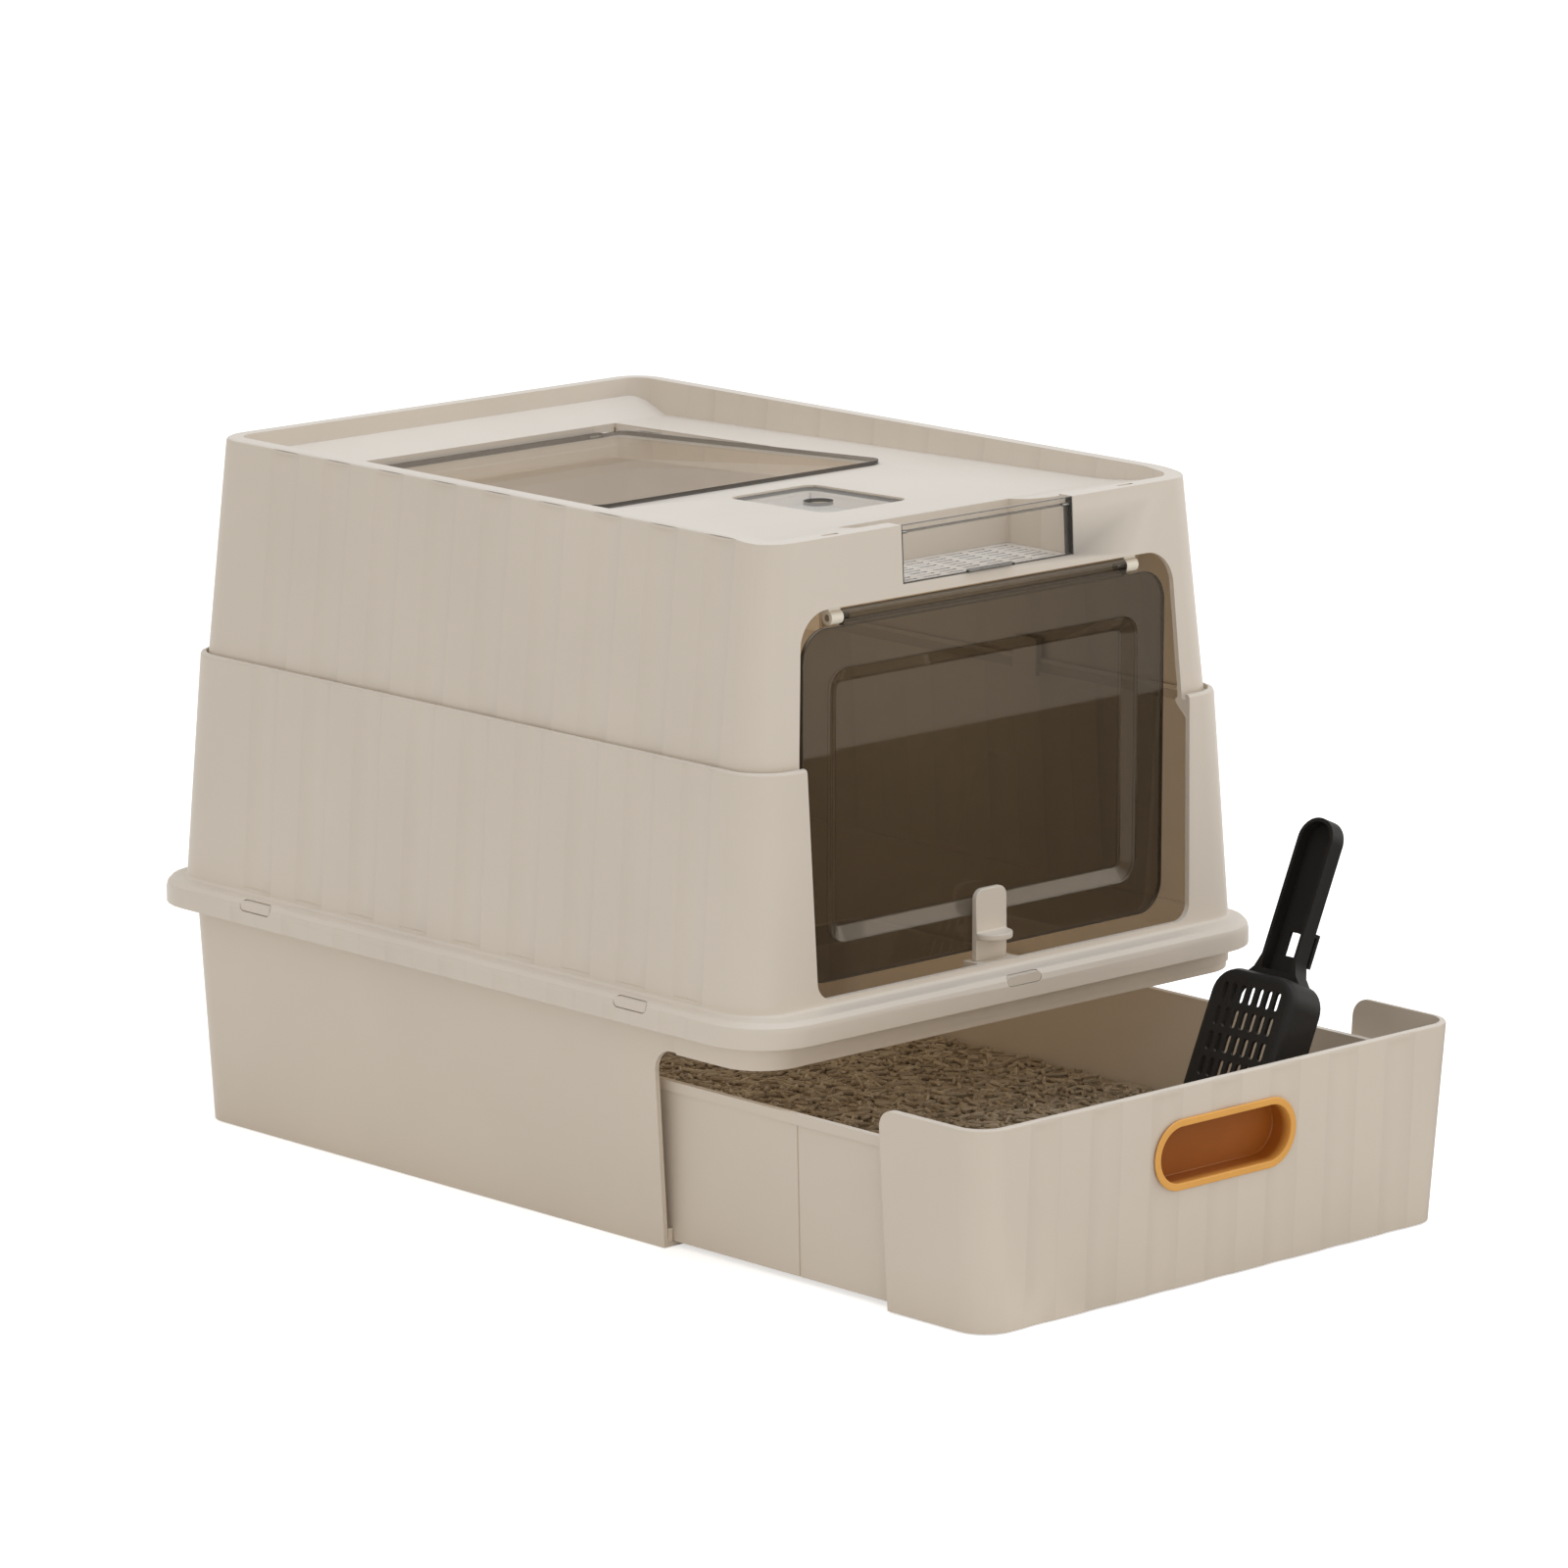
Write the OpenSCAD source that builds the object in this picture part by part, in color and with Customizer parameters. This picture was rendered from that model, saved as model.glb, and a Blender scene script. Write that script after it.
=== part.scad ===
/* [Base rim] */
// Half width of the base at its rim
rim_w = 191.2; // [180:0.2:200]
// Distance from the middle to the rim's front face
rim_front = 250.6; // [240:0.2:260]
// Distance from the middle to the rim's rear face
rim_back = 243.1; // [235:0.2:255]
// Height of the rim above the floor
rim_z = 131.7; // [125:0.1:140]
// Corner radius of the base, seen from above
base_corner_r = 20; // [16:1:26]

/* [Base walls] */
// How far each side wall leans in between the rim and the floor
base_draft_side = 8.8; // [4:0.2:12]
// How far the front leans in between the rim and the floor
base_draft_front = 3.6; // [2:0.2:6]
// How far the rear wall leans in between the rim and the floor
base_draft_back = 2.6; // [1:0.2:5]
// Wall thickness of the base
base_wall = 3; // [2.4:0.1:3.6]
// Thickness of the base's floor plate
base_floor_t = 2.6; // [2:0.1:4]
// Where the side walls end towards the front, measured from the middle
side_wall_front = 166.5; // [150:0.5:180]
// Radius of the cut-out corner above each wing of the drawer
cutout_r = 14; // [12.5:0.5:18]
// Where the floor's tongue under the tray ends towards the front, measured from the middle
tongue_front = 236; // [200:1:238]
// Half width of that tongue
tongue_w = 164; // [120:1:168]

/* [Front rail] */
// Height of the underside of the rail across the drawer's opening
rail_z = 116.9; // [113:0.1:120]
// How far the rail stands out from the base's side
rail_out_side = 3.3; // [2:0.1:5]
// How far the rail stands out from the base's front
rail_out_front = 4.9; // [3:0.1:7]
// Where the rail ends at each side, measured from the middle
rail_end = 188; // [180:1:200]
// Height of the rail's lower step
rail_step_h = 4.1; // [3:0.1:6]
// How far the lower step stands back from the rail's face
rail_step_in = 1.2; // [0.6:0.1:2]
// Thickness of the rail from its face to its rear
rail_t = 7.5; // [6.5:0.1:9]

/* [Hood seat] */
// Height of the upstand that the hood sits on, above the rim
upstand_h = 11.8; // [9:0.1:13]
// Thickness of the ledge inside the collar
ledge_t = 2.6; // [2:0.1:4]
// Gap between the ledge's edge and the collar's skirt
ledge_gap = 0.8; // [0.4:0.1:1.5]

/* [Collar of the hood] */
// How far the collar stands out from the rim at each side
collar_out_side = 13.8; // [12:0.1:18]
// How far the collar stands out from the rim at the front
collar_out_front = 17.1; // [15:0.1:20]
// How far the collar stands out from the rim at the rear
collar_out_back = 24.6; // [20:0.1:28]
// Corner radius of the collar, seen from above
collar_r = 39; // [34:1:44]
// Height of the collar from its lower edge to its top
collar_h = 15; // [13.5:0.1:17]
// Radius of the collar's rounded shoulder
shoulder_r = 6.5; // [5:0.1:7]
// Thickness of the collar's skirt and roof
skirt_t = 3; // [2.4:0.1:3.4]
// Radius of the cove between the collar and the wall
cove_r = 3.4; // [2:0.1:3.5]

/* [Lower hood] */
// How far the foot of the hood's wall stands out from the rim at each side
wall_out_side = 3.3; // [2:0.1:4]
// How far the foot of the hood's wall stands out from the rim at the front
wall_out_front = 2.9; // [2:0.1:4]
// How far the foot of the hood's wall stands out from the rim at the rear
wall_out_back = 9.4; // [7:0.1:11]
// Height of the lower hood's top edge
low_top_z = 281.5; // [270:0.5:290]
// How far the lower hood's sides lean in
low_draft_side = 8.5; // [5:0.1:11]
// How far the lower hood's front leans in
low_draft_front = 5.5; // [3:0.1:7]
// How far the lower hood's rear leans in
low_draft_back = 4.7; // [3:0.1:7]
// Corner radius of the hood's walls, seen from above
hood_corner_r = 26; // [22:1:30]
// Wall thickness of the hood
hood_wall = 3.2; // [2.6:0.1:3.6]
// Depth of the seat for the upper hood below the lower hood's top edge
seat_drop = 3; // [2:0.1:5]
// Width of that seat
seat_w = 8; // [7:0.1:11]
// Thickness of that seat
seat_t = 2.5; // [2:0.1:3.5]
// Rounding of the hood's top edges
edge_r = 2; // [1:0.1:2.6]

/* [Upper hood] */
// Width of the step between the two hoods at the sides and rear
hood_step = 4.7; // [4:0.1:6]
// Width of that step at the front
hood_step_front = 6.4; // [5:0.1:7.4]
// Height of the upper hood's rim
top_z = 407.6; // [398:0.2:416]
// How far the upper hood's sides lean in
up_draft_side = 12.5; // [9:0.1:15]
// How far the upper hood's front leans in
up_draft_front = 7; // [4:0.1:9]
// How far the upper hood's rear leans in
up_draft_back = 4.1; // [2:0.1:7]

/* [Dished top] */
// Width of the flat rim round the dish at the sides and rear
dish_rim_w = 8; // [6:0.1:10]
// Depth of the dish's floor below the rim, over the middle of the base
dish_drop = 15.7; // [13.6:0.1:19.6]
// Fall of the dish's floor towards the rear, per millimetre
dish_fall = 0.0235; // [0:0.0005:0.03]
// Thickness of the dish's floor
dish_t = 2.5; // [2:0.1:3]
// Where the ramp up to the front edge starts, in front of the middle
front_ramp_start = 150; // [145:1:160]
// How far the front edge lies below the rim
front_edge_drop = 2.2; // [1.5:0.1:4]
// How far the rim's slope to that edge runs
front_edge_run = 24; // [18:1:30]
// Distance from the middle to the two marks on the front edge
mark_x = 115.5; // [108:0.5:122]
// Half length of those marks
mark_l = 6; // [4:0.5:8]
// Half width of those marks
mark_r = 1.4; // [1:0.1:2]
// Depth of those marks
mark_d = 0.8; // [0.5:0.1:1.5]
// Where the ramp up to the rear wall starts, behind the middle
back_ramp_start = 203; // [203:0.5:208]
// Height of the top of the rear ramp below the rim
back_ramp_drop = 10; // [8:0.2:12]

/* [Flutes] */
// Pitch of the flutes on the hood
flute_pitch = 46.24; // [42:0.02:48]
// Number of flutes along each side of the hood
flute_count = 9; // [5:1:9]
// Middle of the first flute, in front of the middle
flute_first = 198.15; // [194:0.05:200]
// Number of flutes across the rear of the hood
rear_flute_count = 7; // [3:1:7]
// Radius of a flute's hollow
flute_r = 105; // [90:1:140]
// Depth of a flute
flute_depth = 0.7; // [0.4:0.05:0.9]
// Smooth band between the flutes and the edge above them
flute_margin = 3; // [2:0.1:5]

/* [Entrance] */
// Height of the sill's top edge
sill_z = 151.3; // [151:0.1:156]
// Radius of the sill's corners
sill_r = 10; // [8:0.5:14]
// Half width of the entrance at the sill
door_w_sill = 147; // [140:0.5:149]
// Half width of the entrance at the joint of the two hoods
door_w_joint = 150.5; // [144:0.5:152]
// Half width of the entrance at its head
door_w_head = 146.5; // [142:0.5:150]
// Distance from the hood's rim down to the entrance's head
door_head_drop = 41.8; // [41.6:0.1:45.6]
// Radius of the head's corners
door_top_r = 21; // [16:0.5:26]

/* [Flap door] */
// Half width of the flap
flap_w = 142; // [136:0.5:142]
// Gap between the sill and the flap's lower edge
flap_sill_gap = 3.7; // [3:0.1:6]
// Height of the flap's upper edge below the hinge axis
flap_hang = 4.6; // [4.6:0.1:6]
// Corner radius of the flap
flap_r = 18; // [12:0.5:24]
// Thickness of the flap
flap_t = 2.5; // [2:0.1:3]
// How far the flap's outer face stands behind the base's rim
flap_setback = 15.4; // [15.2:0.1:16.1]
// Half width of the sunk pane of the flap, at the flap's face
pane_w = 120.5; // [110:0.5:124]
// Distance from the flap's lower edge to the pane
pane_foot = 21; // [18:0.5:26]
// Distance from the flap's upper edge to the pane
pane_head = 24.4; // [20:0.5:30]
// Width of the slope round the pane
pane_slope = 8; // [4:0.5:10]
// Corner radius of the pane, at the flap's face
pane_r = 12; // [10:0.5:16]
// How far the pane is sunk
pane_depth = 4.8; // [3:0.1:5]

/* [Flap hinge] */
// Distance from the entrance's head down to the hinge axis
hinge_drop = 6.2; // [5.6:0.1:7]
// Distance from the hinge axis forward to the flap's outer face
hinge_back = 3.7; // [3:0.1:3.8]
// Radius of the flap's hinge bar
hinge_bar_r = 4; // [3.6:0.1:4.2]
// Half length of the hinge bar
hinge_bar_w = 111; // [100:0.5:113]
// Width of a hinge bracket
bracket_w = 9; // [7:0.5:11]
// Radius of a hinge bracket's round end
bracket_r = 4.1; // [3.8:0.1:4.2]
// Height of a bracket's stem over the hinge axis
bracket_rise = 18; // [12:0.5:20]
// Radius of the hinge pins
flap_pin_r = 2; // [1.6:0.1:2.2]
// Length of a hinge pin
flap_pin_l = 15; // [13:0.5:18]

/* [Latch] */
// Half width of the latch tab
latch_w = 12; // [9:0.5:14]
// Thickness of the latch tab
latch_t = 3.8; // [3:0.1:4.4]
// Height of the latch tab over the sill
latch_h = 39.7; // [34:0.5:44]
// Radius of the latch tab's top corners
latch_r = 6; // [4:0.5:8]
// Gap between the flap and the latch
latch_gap = 1.3; // [0.4:0.1:1.6]
// Height of the thumb ledge's underside over the sill
thumb_z = 11.1; // [8:0.1:14]
// Thickness of the thumb ledge
thumb_t = 3.7; // [3:0.1:5]
// Length of the stem below the sill
stem_drop = 25; // [22:0.5:27]
// Height of the latch guide
guide_h = 20; // [16:0.5:21]
// Distance from the sill down to the top of the guide
guide_drop = 1.4; // [1:0.1:2]
// Gap between the latch and its guide
guide_gap = 0.4; // [0.3:0.05:0.6]
// Thickness of the guide's walls
guide_wall = 3; // [2.4:0.1:4]

/* [Top lid] */
// Half width of the lid
lid_w = 114.4; // [100:0.2:118]
// Distance from the middle to the lid's front edge
lid_front = 35.6; // [30:0.1:38]
// Distance from the middle to the lid's rear edge
lid_back = 199.3; // [190:0.1:199.4]
// Corner radius of the lid
lid_r = 12; // [8:0.5:16]
// Thickness of the lid
lid_t = 2.5; // [2:0.1:3]
// Height of the lid's front edge over the dish
lid_proud = 2.8; // [2:0.1:3.2]
// Depth of the lid's rear edge below the dish
lid_sunk = 3.7; // [2.5:0.1:4]
// Gap round the lid
lid_gap = 0.8; // [0.6:0.1:1.2]
// Gap behind the lid, which its rear edge swings through
lid_swing_gap = 2.6; // [2.4:0.1:3]
// Width of the ledge that the lid rests on
lid_ledge_w = 8; // [7.5:0.5:10]
// Thickness of the ledge that the lid rests on
lid_ledge_t = 5; // [4:0.1:6]
// Depth of the skirt below the lid's ledge
lid_skirt_h = 8; // [4:0.5:10]
// Radius of the lid's hinge barrel
barrel_r = 2.6; // [2.4:0.1:2.7]
// How far the hinge barrel stands out behind the lid's rear edge
barrel_out = 0.8; // [0.4:0.1:1]
// Width of the lid's corner beside each lug
lid_corner_w = 10; // [6:0.5:14]
// Radius of the lid's hinge pins
lid_pin_r = 1.2; // [1:0.1:1.3]
// Length of the lid's hinge pins
lid_pin_l = 14; // [11:0.5:16]
// Length of each lug that holds a hinge pin
lug_l = 5; // [4:0.5:6]

/* [Deodoriser] */
// Distance from the middle forward to the centre of the cover
deo_y = 97.8; // [94:0.1:100]
// Half width of the cover
deo_w = 33; // [28:0.5:36]
// Half length of the cover
deo_l = 41; // [36:0.5:42]
// Corner radius of the cover
deo_r = 8; // [5:0.5:12]
// Thickness of the cover
deo_cover_t = 2; // [1.6:0.1:2.2]
// Radius of the finger hole in the cover
finger_r = 8.5; // [7:0.1:10]
// Depth of the cup under the cover
deo_cup_h = 18; // [12:0.5:19]
// Wall thickness of the cup
deo_cup_wall = 1.8; // [1.4:0.1:2.2]
// Pitch of the vents in the cup's floor
vent_pitch = 9; // [7:0.5:11]
// Width of the vents
vent_w = 3; // [2:0.1:4]
// Distance from the vents' ends to the cup's wall
vent_margin = 6; // [4:0.5:10]
// Thickness of the carbon pad in the cup
pad_t = 10; // [6:0.5:12]
// Depth of the cover's top below the dish
deo_sunk = 1.2; // [0.6:0.1:2]
// Width of the ledge that the cup hangs on
deo_ledge_w = 5; // [4:0.2:7]
// Thickness of the cup's flange
deo_flange_t = 1.8; // [1.4:0.1:2.2]

/* [Scent pocket] */
// Half width of the pocket's window
pocket_w = 67; // [60:0.5:72]
// Distance from the middle to the pocket's rear wall
pocket_back = 184; // [180:0.5:190]
// Height of the pocket's sill over the entrance's head
pocket_sill = 6.6; // [6:0.1:8]
// Thickness of the pocket's walls
pocket_wall = 2.4; // [2:0.1:3]
// Thickness of the perforated tray
scent_t = 2.4; // [2:0.1:3]
// Length of the slots in the perforated tray
scent_slot_l = 13; // [8:0.5:16]
// Width of those slots
scent_slot_w = 1.8; // [1.2:0.1:2.6]
// Distance between those slots from side to side
scent_pitch_x = 18; // [16.5:0.5:24]
// Distance between those slots from front to rear
scent_pitch_y = 5.4; // [4:0.1:8]
// Thickness of the clear cover
cover_t = 2; // [1.6:0.1:2.4]
// Height of the clear cover's top rail
cover_rail_h = 4.5; // [3.5:0.1:5]
// Depth of the clear cover's side returns
cover_return = 5; // [4.4:0.1:6]
// Thickness of those returns
cover_return_t = 2; // [1.6:0.1:2.4]
// Width of the clear cover's pull tab
pull_w = 36; // [24:1:44]
// How far the pull tab stands out
pull_out = 2.2; // [1.6:0.1:3]
// Thickness of the pull tab
pull_t = 1.6; // [1.2:0.1:2.2]
// Radius of the clear cover's hinge pins
cover_pin_r = 1; // [0.8:0.1:1.2]

/* [Drawer] */
// How far the drawer is pulled out
drawer_open = 177; // [120:1:180]
// How far the shut drawer's front stands back from the base's front line
panel_setback = 3.3; // [2.6:0.1:4.5]
// How far the drawer's front leans forward between its foot and its top
panel_lean = 4.4; // [2:0.1:5]
// Thickness of the drawer's front and wings
panel_t = 3.8; // [3.2:0.1:4.4]
// Gap under the drawer's front
panel_foot_gap = 0.5; // [0.4:0.1:1.5]
// Gap between the drawer's front and the rail above it
panel_top_gap = 1.2; // [0.8:0.1:2]
// Gap between the shut drawer's wings and the base's side walls
wing_gap = 2.5; // [1.5:0.1:4]
// Thickness of the web between each wing and the tray
web_t = 2.5; // [2:0.1:4]
// Radius of the wings' upper rear corners
wing_r = 11; // [9:0.5:11]
// Pitch of the flutes on the drawer's front
panel_flute_pitch = 46.75; // [42:0.05:48]
// Number of flutes on the drawer's front
panel_flute_count = 7; // [3:2:7]

/* [Drawer tray] */
// Height of the tray's rim above the floor
tray_z = 96; // [85:0.5:105]
// Height of the band under the tray's rim
tray_band_h = 6; // [4:0.5:8]
// How far the band stands out from the tray's wall
tray_band_out = 1.4; // [0.8:0.1:2]
// How far the tray's sides lean in between the rim and the foot
tray_draft = 4.1; // [2:0.1:6]
// Wall thickness of the tray
tray_wall = 2.5; // [2:0.1:3]
// Corner radius of the tray, seen from above
tray_corner_r = 18; // [12:1:24]
// Gap behind the shut tray
tray_back_gap = 4.5; // [2:0.1:8]
// Distance from the middle to the groove in the tray's sides, with the drawer shut
tray_groove_y = 92.5; // [80:0.5:110]
// Width of that groove
tray_groove_w = 1.4; // [0.8:0.1:2]
// Depth of that groove
tray_groove_d = 0.6; // [0.3:0.1:0.8]
// Running gap between the tray and what it slides on
slide_gap = 0.3; // [0.2:0.05:0.5]
// Gap between the tray's foot and each runner
runner_gap = 0.6; // [0.4:0.05:1]
// Width of the runners
runner_w = 3.6; // [3:0.1:5]
// Height of the runners over the base's floor
runner_h = 8; // [5:0.5:10]

/* [Litter] */
// Depth of the litter in the tray
litter_depth = 33; // [15:1:45]

/* [Drawer handle] */
// Half length of the handle's ring
handle_l = 55.8; // [48:0.2:60]
// Half height of the handle's ring
handle_h = 20.4; // [16:0.2:24]
// Height of the handle's middle
handle_z = 77; // [66:0.5:84]
// Width of the handle's ring
handle_ring_w = 4.6; // [3:0.1:6]
// How far the ring stands out from the drawer's front
handle_proud = 1.6; // [1:0.1:3]
// Depth of the finger cup behind the drawer's front
handle_depth = 15; // [10:0.5:18]
// Wall thickness of the finger cup
handle_wall = 2; // [1.6:0.1:2.6]
// Gap between the finger cup and the hole in the drawer's front
handle_fit = 0.3; // [0.2:0.05:0.5]

/* [Scoop] */
// Lean of the scoop from upright, in degrees
scoop_lean = 24; // [15:1:26]
// Where the scoop's tip stands, to the right of the middle
scoop_x = 44; // [20:0.5:70]
// Distance from the drawer's front to the middle of the scoop
scoop_in = 60.7; // [56:0.1:75]
// Length of the scoop's blade
blade_l = 118; // [100:1:125]
// Half width of the scoop's blade
blade_w = 32; // [26:0.5:33]
// Depth of the scoop's blade at its heel
blade_d = 25; // [20:0.5:30]
// Depth of the scoop's blade at its tip
blade_tip_d = 4; // [3:0.5:8]
// Length of the slanting part of the blade's sides
blade_slant_l = 62; // [40:1:80]
// Wall thickness of the scoop
scoop_wall = 2.2; // [1.8:0.1:2.6]
// Rounding between the blade's floor and its sides
blade_floor_r = 5; // [3:0.5:7]
// Radius of the blade's corners
blade_corner_r = 16; // [10:0.5:22]
// Length of the slots
slot_l = 11; // [8:0.5:12]
// Width of the slots
slot_w = 3.6; // [2.5:0.1:4]
// Distance between slots along the blade
slot_pitch_l = 14.7; // [13.5:0.1:16]
// Distance between slots across the blade
slot_pitch_w = 6.67; // [6:0.01:7.2]
// Length of the scoop's handle
grip_l = 94; // [80:1:120]
// Half width of the handle
grip_w = 13; // [10:0.5:15]
// Depth of the handle's channel from side to side
grip_d = 10; // [8:0.5:12]
// Where the handle lies over the blade's floor
grip_x = 13; // [8:0.5:15]
// Length of the neck that the blade narrows over
neck_l = 12; // [8:0.5:16]
// How far the neck is wider than the handle, to each side, where it meets the blade
neck_flare = 9; // [4:0.5:12]
// Length of the hole behind the neck, for hanging the scoop up
hang_l = 14; // [8:0.5:16]
// Width of that hole
hang_w = 8; // [5:0.5:12]
// Distance from the blade's heel to the root of the hanging hook
hook_z = 31; // [24:0.5:40]
// Length of the hanging hook
hook_l = 20; // [14:0.5:24]
// How far the hook stands off the handle
hook_out = 13; // [8:0.5:15]
// Width of the hook
hook_w = 10; // [7:0.5:14]

/* [Small parts] */
// Half length of the snap windows in the collar
snap_l = 13.5; // [10:0.5:16]
// Height of the snap windows
snap_h = 6.5; // [5:0.1:7]
// Gap round each snap tongue in its window
snap_gap = 0.4; // [0.3:0.1:0.8]
// Where the side snaps lie in front of and behind the middle
snap_y = 162; // [140:1:170]
// Radius of the rubber pads
pad_r = 11; // [8:0.5:14]
// Thickness of the rubber pads
pad_h = 1.2; // [0.8:0.1:1.4]
// Distance of the pads from the middle to each side
pad_x = 150; // [120:1:155]
// Distance of the pads from the middle to the front and rear
pad_y = 145; // [110:1:150]
// Half length of the clips that hold the two hoods together
clip_l = 10; // [7:0.5:14]
// Thickness of those clips
clip_t = 2.7; // [2:0.1:3]
// How far the clips stand up inside the upper hood
clip_rise = 12; // [8:0.5:20]
// How far the clips reach down below the seat
clip_drop = 8; // [4:0.5:12]

/* [Fits] */
// Running clearance of a pin in its bore, on the radius
pin_fit = 0.05; // [0.02:0.01:0.08]
// Gap between a loose piece and its seat
seat_gap = 0.3; // [0.2:0.05:0.5]

/* [Hidden] */

// Smoothness of round stretches, and how far a cut runs past a face
corner_steps = 8;
round_fn = 64;
hull_fn = 32;
past = 1;

hood_colour = "#dcd6cb";
base_colour = "#d6ccbb";
smoke = [0.42, 0.37, 0.30, 0.75];
clear = [0.75, 0.73, 0.70, 0.5];
black = "#2e2c2b";

// An outline is a rounded rectangle: half width, front y, rear y and corner radius
least_r = 0.8;
function inset(p, d) = [p[0] - d, p[1] + d, p[2] - d, max(p[3] - d, least_r)];
function pulled(p, side, front, back) = [p[0] - side, p[1] + front, p[2] - back, p[3]];
function between(p, q, t) = p + (q - p) * t;

// One ring of a skin: an outline whose height runs straight from its front to its rear
function ring(p, z_front, z_back) = [
  for (c = [0:3]) for (k = [0:corner_steps])
    let (
      turn = 90 * (c + k / corner_steps),
      x = (c == 0 || c == 3 ? 1 : -1) * (p[0] - p[3]) + p[3] * cos(turn),
      y = (c < 2 ? p[2] - p[3] : p[1] + p[3]) + p[3] * sin(turn)
    ) [x, y, z_front + (z_back - z_front) * (y - p[1]) / (p[2] - p[1])]];
function flat(p, z) = ring(p, z, z);

// Outlines of the base and of its front rail
rim = [rim_w, -rim_front, rim_back, base_corner_r];
base_foot = pulled(rim, base_draft_side, base_draft_front, base_draft_back);
function base_at(z) = between(base_foot, rim, z / rim_z);
rail_r = base_corner_r + rail_out_front + rail_out_side;
rail = [rim_w + rail_out_side, -rim_front - rail_out_front, rim_back, rail_r];
upstand_z = rim_z + upstand_h;

// Outlines of the hood
collar = [rim_w + collar_out_side, -rim_front - collar_out_front, rim_back + collar_out_back, collar_r];
collar_z = rim_z + collar_h;
low_foot = [rim_w + wall_out_side, -rim_front - wall_out_front, rim_back + wall_out_back, hood_corner_r];
low_head = pulled(low_foot, low_draft_side, low_draft_front, low_draft_back);
function low_at(z) = between(low_foot, low_head, (z - collar_z) / (low_top_z - collar_z));
seat_z = low_top_z - seat_drop;
up_foot = inset(pulled(low_at(seat_z), 0, hood_step_front - hood_step, 0), hood_step);
up_head = pulled(up_foot, up_draft_side, up_draft_front, up_draft_back);
function up_at(z) = between(up_foot, up_head, (z - seat_z) / (top_z - seat_z));
front_lean = atan(up_draft_front / (top_z - seat_z));
dish_rim = inset(up_head, edge_r + dish_rim_w);
dish = inset(dish_rim, 1.5);

// Heights of the dish's floor and of the lid, which slopes a little more
dish_z = top_z - dish_drop;
function dish_at(y) = dish_z - dish_fall * y;
function lid_top_at(y) =
  let (front = dish_at(-lid_front) + lid_proud, back = dish_at(lid_back) - lid_sunk)
  front + (back - front) * (y + lid_front) / (lid_back + lid_front);
function under_dish(p, d) = ring(p, dish_at(p[1]) - d, dish_at(p[2]) - d);
function under_lid(p, d) = ring(p, lid_top_at(p[1]) - d, lid_top_at(p[2]) - d);
front_edge_z = top_z - front_edge_drop;

// The top lid, its hole and its hinge
lid = [lid_w, -lid_front, lid_back, lid_r];
lid_hole = pulled(inset(lid, -lid_gap), 0, 0, lid_gap - lid_swing_gap);
lid_seat = inset(lid_hole, lid_ledge_w);
lid_ledge_d = lid_t + seat_gap + lid_ledge_t;
lid_frame_z = lid_top_at(lid_back) - lid_ledge_d - lid_skirt_h - past;
lid_axis_y = lid_back - barrel_r + barrel_out;
lid_axis_z = lid_top_at(lid_axis_y) - lid_t - seat_gap;
barrel_w = lid_w - lug_l - lid_corner_w;
barrel_bore_l = lid_pin_l - lug_l;

// The deodoriser's cover and cup
deo = [deo_w, -deo_y - deo_l, -deo_y + deo_l, deo_r];
deo_hole = inset(deo, -seat_gap);
deo_flange_d = deo_sunk + deo_cover_t + seat_gap;
deo_ledge_d = deo_flange_d + deo_flange_t + seat_gap;
deo_seat = inset(deo_hole, deo_ledge_w);
deo_cup = inset(deo_seat, seat_gap);
deo_ledge_t = 2;

// The scent pocket and its cover; the cover lies in the plane of the hood's front
door_top_z = top_z - door_head_drop;
pocket_sill_z = door_top_z + pocket_sill;
pocket_ledge_z = pocket_sill_z - 2 * seat_gap - scent_t;
pocket_floor_t = 2;
pocket_ledge_w = 4;
cover_w = pocket_w - seat_gap;
cover_h = (front_edge_z - pocket_sill_z) / cos(front_lean) - seat_gap;
cover_pin_y = cover_return - 2.2 * cover_pin_r;
cover_pin_l = 6;

// The entrance, the flap and its hinge
flap_front = rim_front - flap_setback;
hinge_y = -flap_front + hinge_back;
hinge_z = door_top_z - hinge_drop;
flap_bottom_z = sill_z + flap_sill_gap;
flap_top_z = hinge_z - flap_hang;
bracket_x = hinge_bar_w + seat_gap;
bracket_top_z = hinge_z + bracket_rise;

// The latch and its guide
latch_back = -flap_front - latch_gap;
latch_front = latch_back - latch_t;
latch_top_z = sill_z + latch_h;
latch_bottom_z = sill_z - stem_drop;
guide_top_z = sill_z - guide_drop;
guide_bottom_z = guide_top_z - guide_h;

// The drawer's outlines, moved forward by as much as it is pulled out
function slid(p) = [p[0], p[1] - drawer_open, p[2] - drawer_open, p[3]];
panel_top_z = rail_z - panel_top_gap;
panel_foot = slid(pulled(base_foot, 0, panel_setback, 0));
panel_head = [base_at(panel_top_z)[0], panel_foot[1] - panel_lean, panel_foot[2], base_corner_r];
panel_rise = panel_top_z - panel_foot_gap;
function panel_at(z) = between(panel_foot, panel_head, (z - panel_foot_gap) / panel_rise);
panel_tilt = atan(panel_lean / panel_rise);
wing_rear = -side_wall_front - wing_gap - drawer_open;
tray_bottom = base_floor_t + slide_gap;
tray_foot_w = base_foot[0] - base_wall - runner_w - runner_gap;
tray_rear = base_foot[2] - base_wall - tray_back_gap - drawer_open;
tray_head = [tray_foot_w + tray_draft, panel_at(tray_z)[1] + panel_t - 1, tray_rear, tray_corner_r];
tray_front_lean = panel_at(tray_bottom)[1] - panel_at(tray_z)[1];
tray_foot = pulled(tray_head, tray_draft, tray_front_lean, tray_draft);
function tray_at(z) = between(tray_foot, tray_head, (z - tray_bottom) / (tray_z - tray_bottom));
litter_bottom_z = tray_bottom + tray_wall + seat_gap;
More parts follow.
